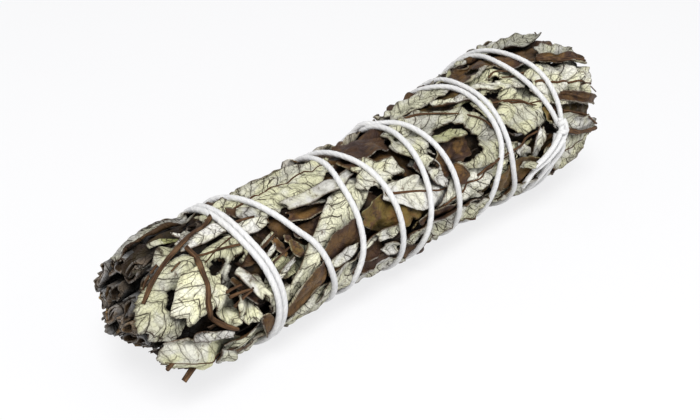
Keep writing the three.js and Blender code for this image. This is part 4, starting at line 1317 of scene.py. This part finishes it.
def twine_route():
    """Points of the wound twine, which rides over itself where it crosses."""
    lift = np.zeros(len(twine_x))
    back, down = np.flatnonzero(comes_back), np.flatnonzero(~comes_back)
    # Where the two ways cross, the way back rides over and the way down is pressed in.
    for upper, lower, height in ((back, down, 0.75), (down, back, -0.45)):
        for index in upper:
            apart = (twine_turned[lower] - twine_turned[index] + 180) % 360 - 180
            near = np.hypot(twine_x[lower] - twine_x[index], np.radians(apart) * MEAN_RADIUS).min()
            lift[index] = height * np.clip((1.25 - near) / 1.0, 0, 1)
    smooth = np.hanning(9) / np.hanning(9).sum()
    lift = np.convolve(lift, smooth, mode="same")
    radius = bundle_radius(twine_x, twine_turned) - 0.1 + lift
    points = spot(twine_x, twine_turned, radius)
    points[:, 2] = np.maximum(points[:, 2], TWINE_RADIUS + 0.1)
    return points


def along_bundle(knots, count):
    """A path on the bundle through spots of x, angle and height over the leaves."""
    knots = np.array(knots, float)
    steps = np.linspace(0, len(knots) - 1, count)
    x, angle, height = [smooth_through(range(len(knots)), column, steps) for column in knots.T]
    points = spot(x, angle, bundle_radius(x, angle) + height)
    points[:, 2] = np.maximum(points[:, 2], TWINE_RADIUS + 0.1)
    return points


def knot_paths():
    """The knot's two flat loops, the strand around them, and the loose ends."""
    band = [
        [(46.3, 66, 0.5), (46, 73, 0.9), (43.8, 81, 1.1), (41, 89, 0.9), (38.6, 95, 0.4),
         (38.2, 99, -0.3)],
        [(47.3, 68, 0.6), (47.2, 76, 1.0), (45.2, 84, 1.2), (42.6, 92, 0.9), (40.2, 98, 0.4),
         (38.6, 103, 0.0), (37.6, 110, 0.0), (37.4, 118, -0.1)],
        [(46.2, 80, 0.3), (46.8, 90, 0.6), (45.4, 99, 0.3), (43.2, 108, 0.1), (41.8, 119, 0.1),
         (41.6, 128, 0)],
    ]
    paths = [along_bundle(knots, 18 * len(knots)) for knots in band]
    centre = along_bundle([(46.6, 69, 0.8), (46.2, 76, 1.0), (45, 81, 1.1)], 70)
    along = np.gradient(centre, axis=0)
    along /= np.linalg.norm(along, axis=1, keepdims=True)
    out = along_bundle([(46.6, 69, 1.8), (46.2, 76, 2.0), (45, 81, 2.1)], 70) - centre
    out -= along * np.sum(out * along, axis=1, keepdims=True)
    out /= np.linalg.norm(out, axis=1, keepdims=True)
    beside = np.cross(along, out)
    turn = np.linspace(0.6, 2 * pi * 1.9, 70)
    paths.append(centre + 0.6 * np.cos(turn)[:, None] * out + 0.9 * np.sin(turn)[:, None] * beside)
    return paths


twine = twisted_twine_tree().applied(curve_of("twine_route", [twine_route()] + knot_paths()),
                                     "wound_cotton_twine", look=LOOKS["cotton"])
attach(twine, "root")
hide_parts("twine")


# Floor ----------------------------------------

floor_mesh = bpy.data.meshes.new("floor")
floor_mesh.from_pydata([(-3, -3, 0), (3, -3, 0), (3, 3, 0), (-3, 3, 0)], [], [(0, 1, 2, 3)])
floor_mesh.materials.append(floor_look())
floor = bpy.data.objects.new("floor", floor_mesh)
bpy.context.collection.objects.link(floor)
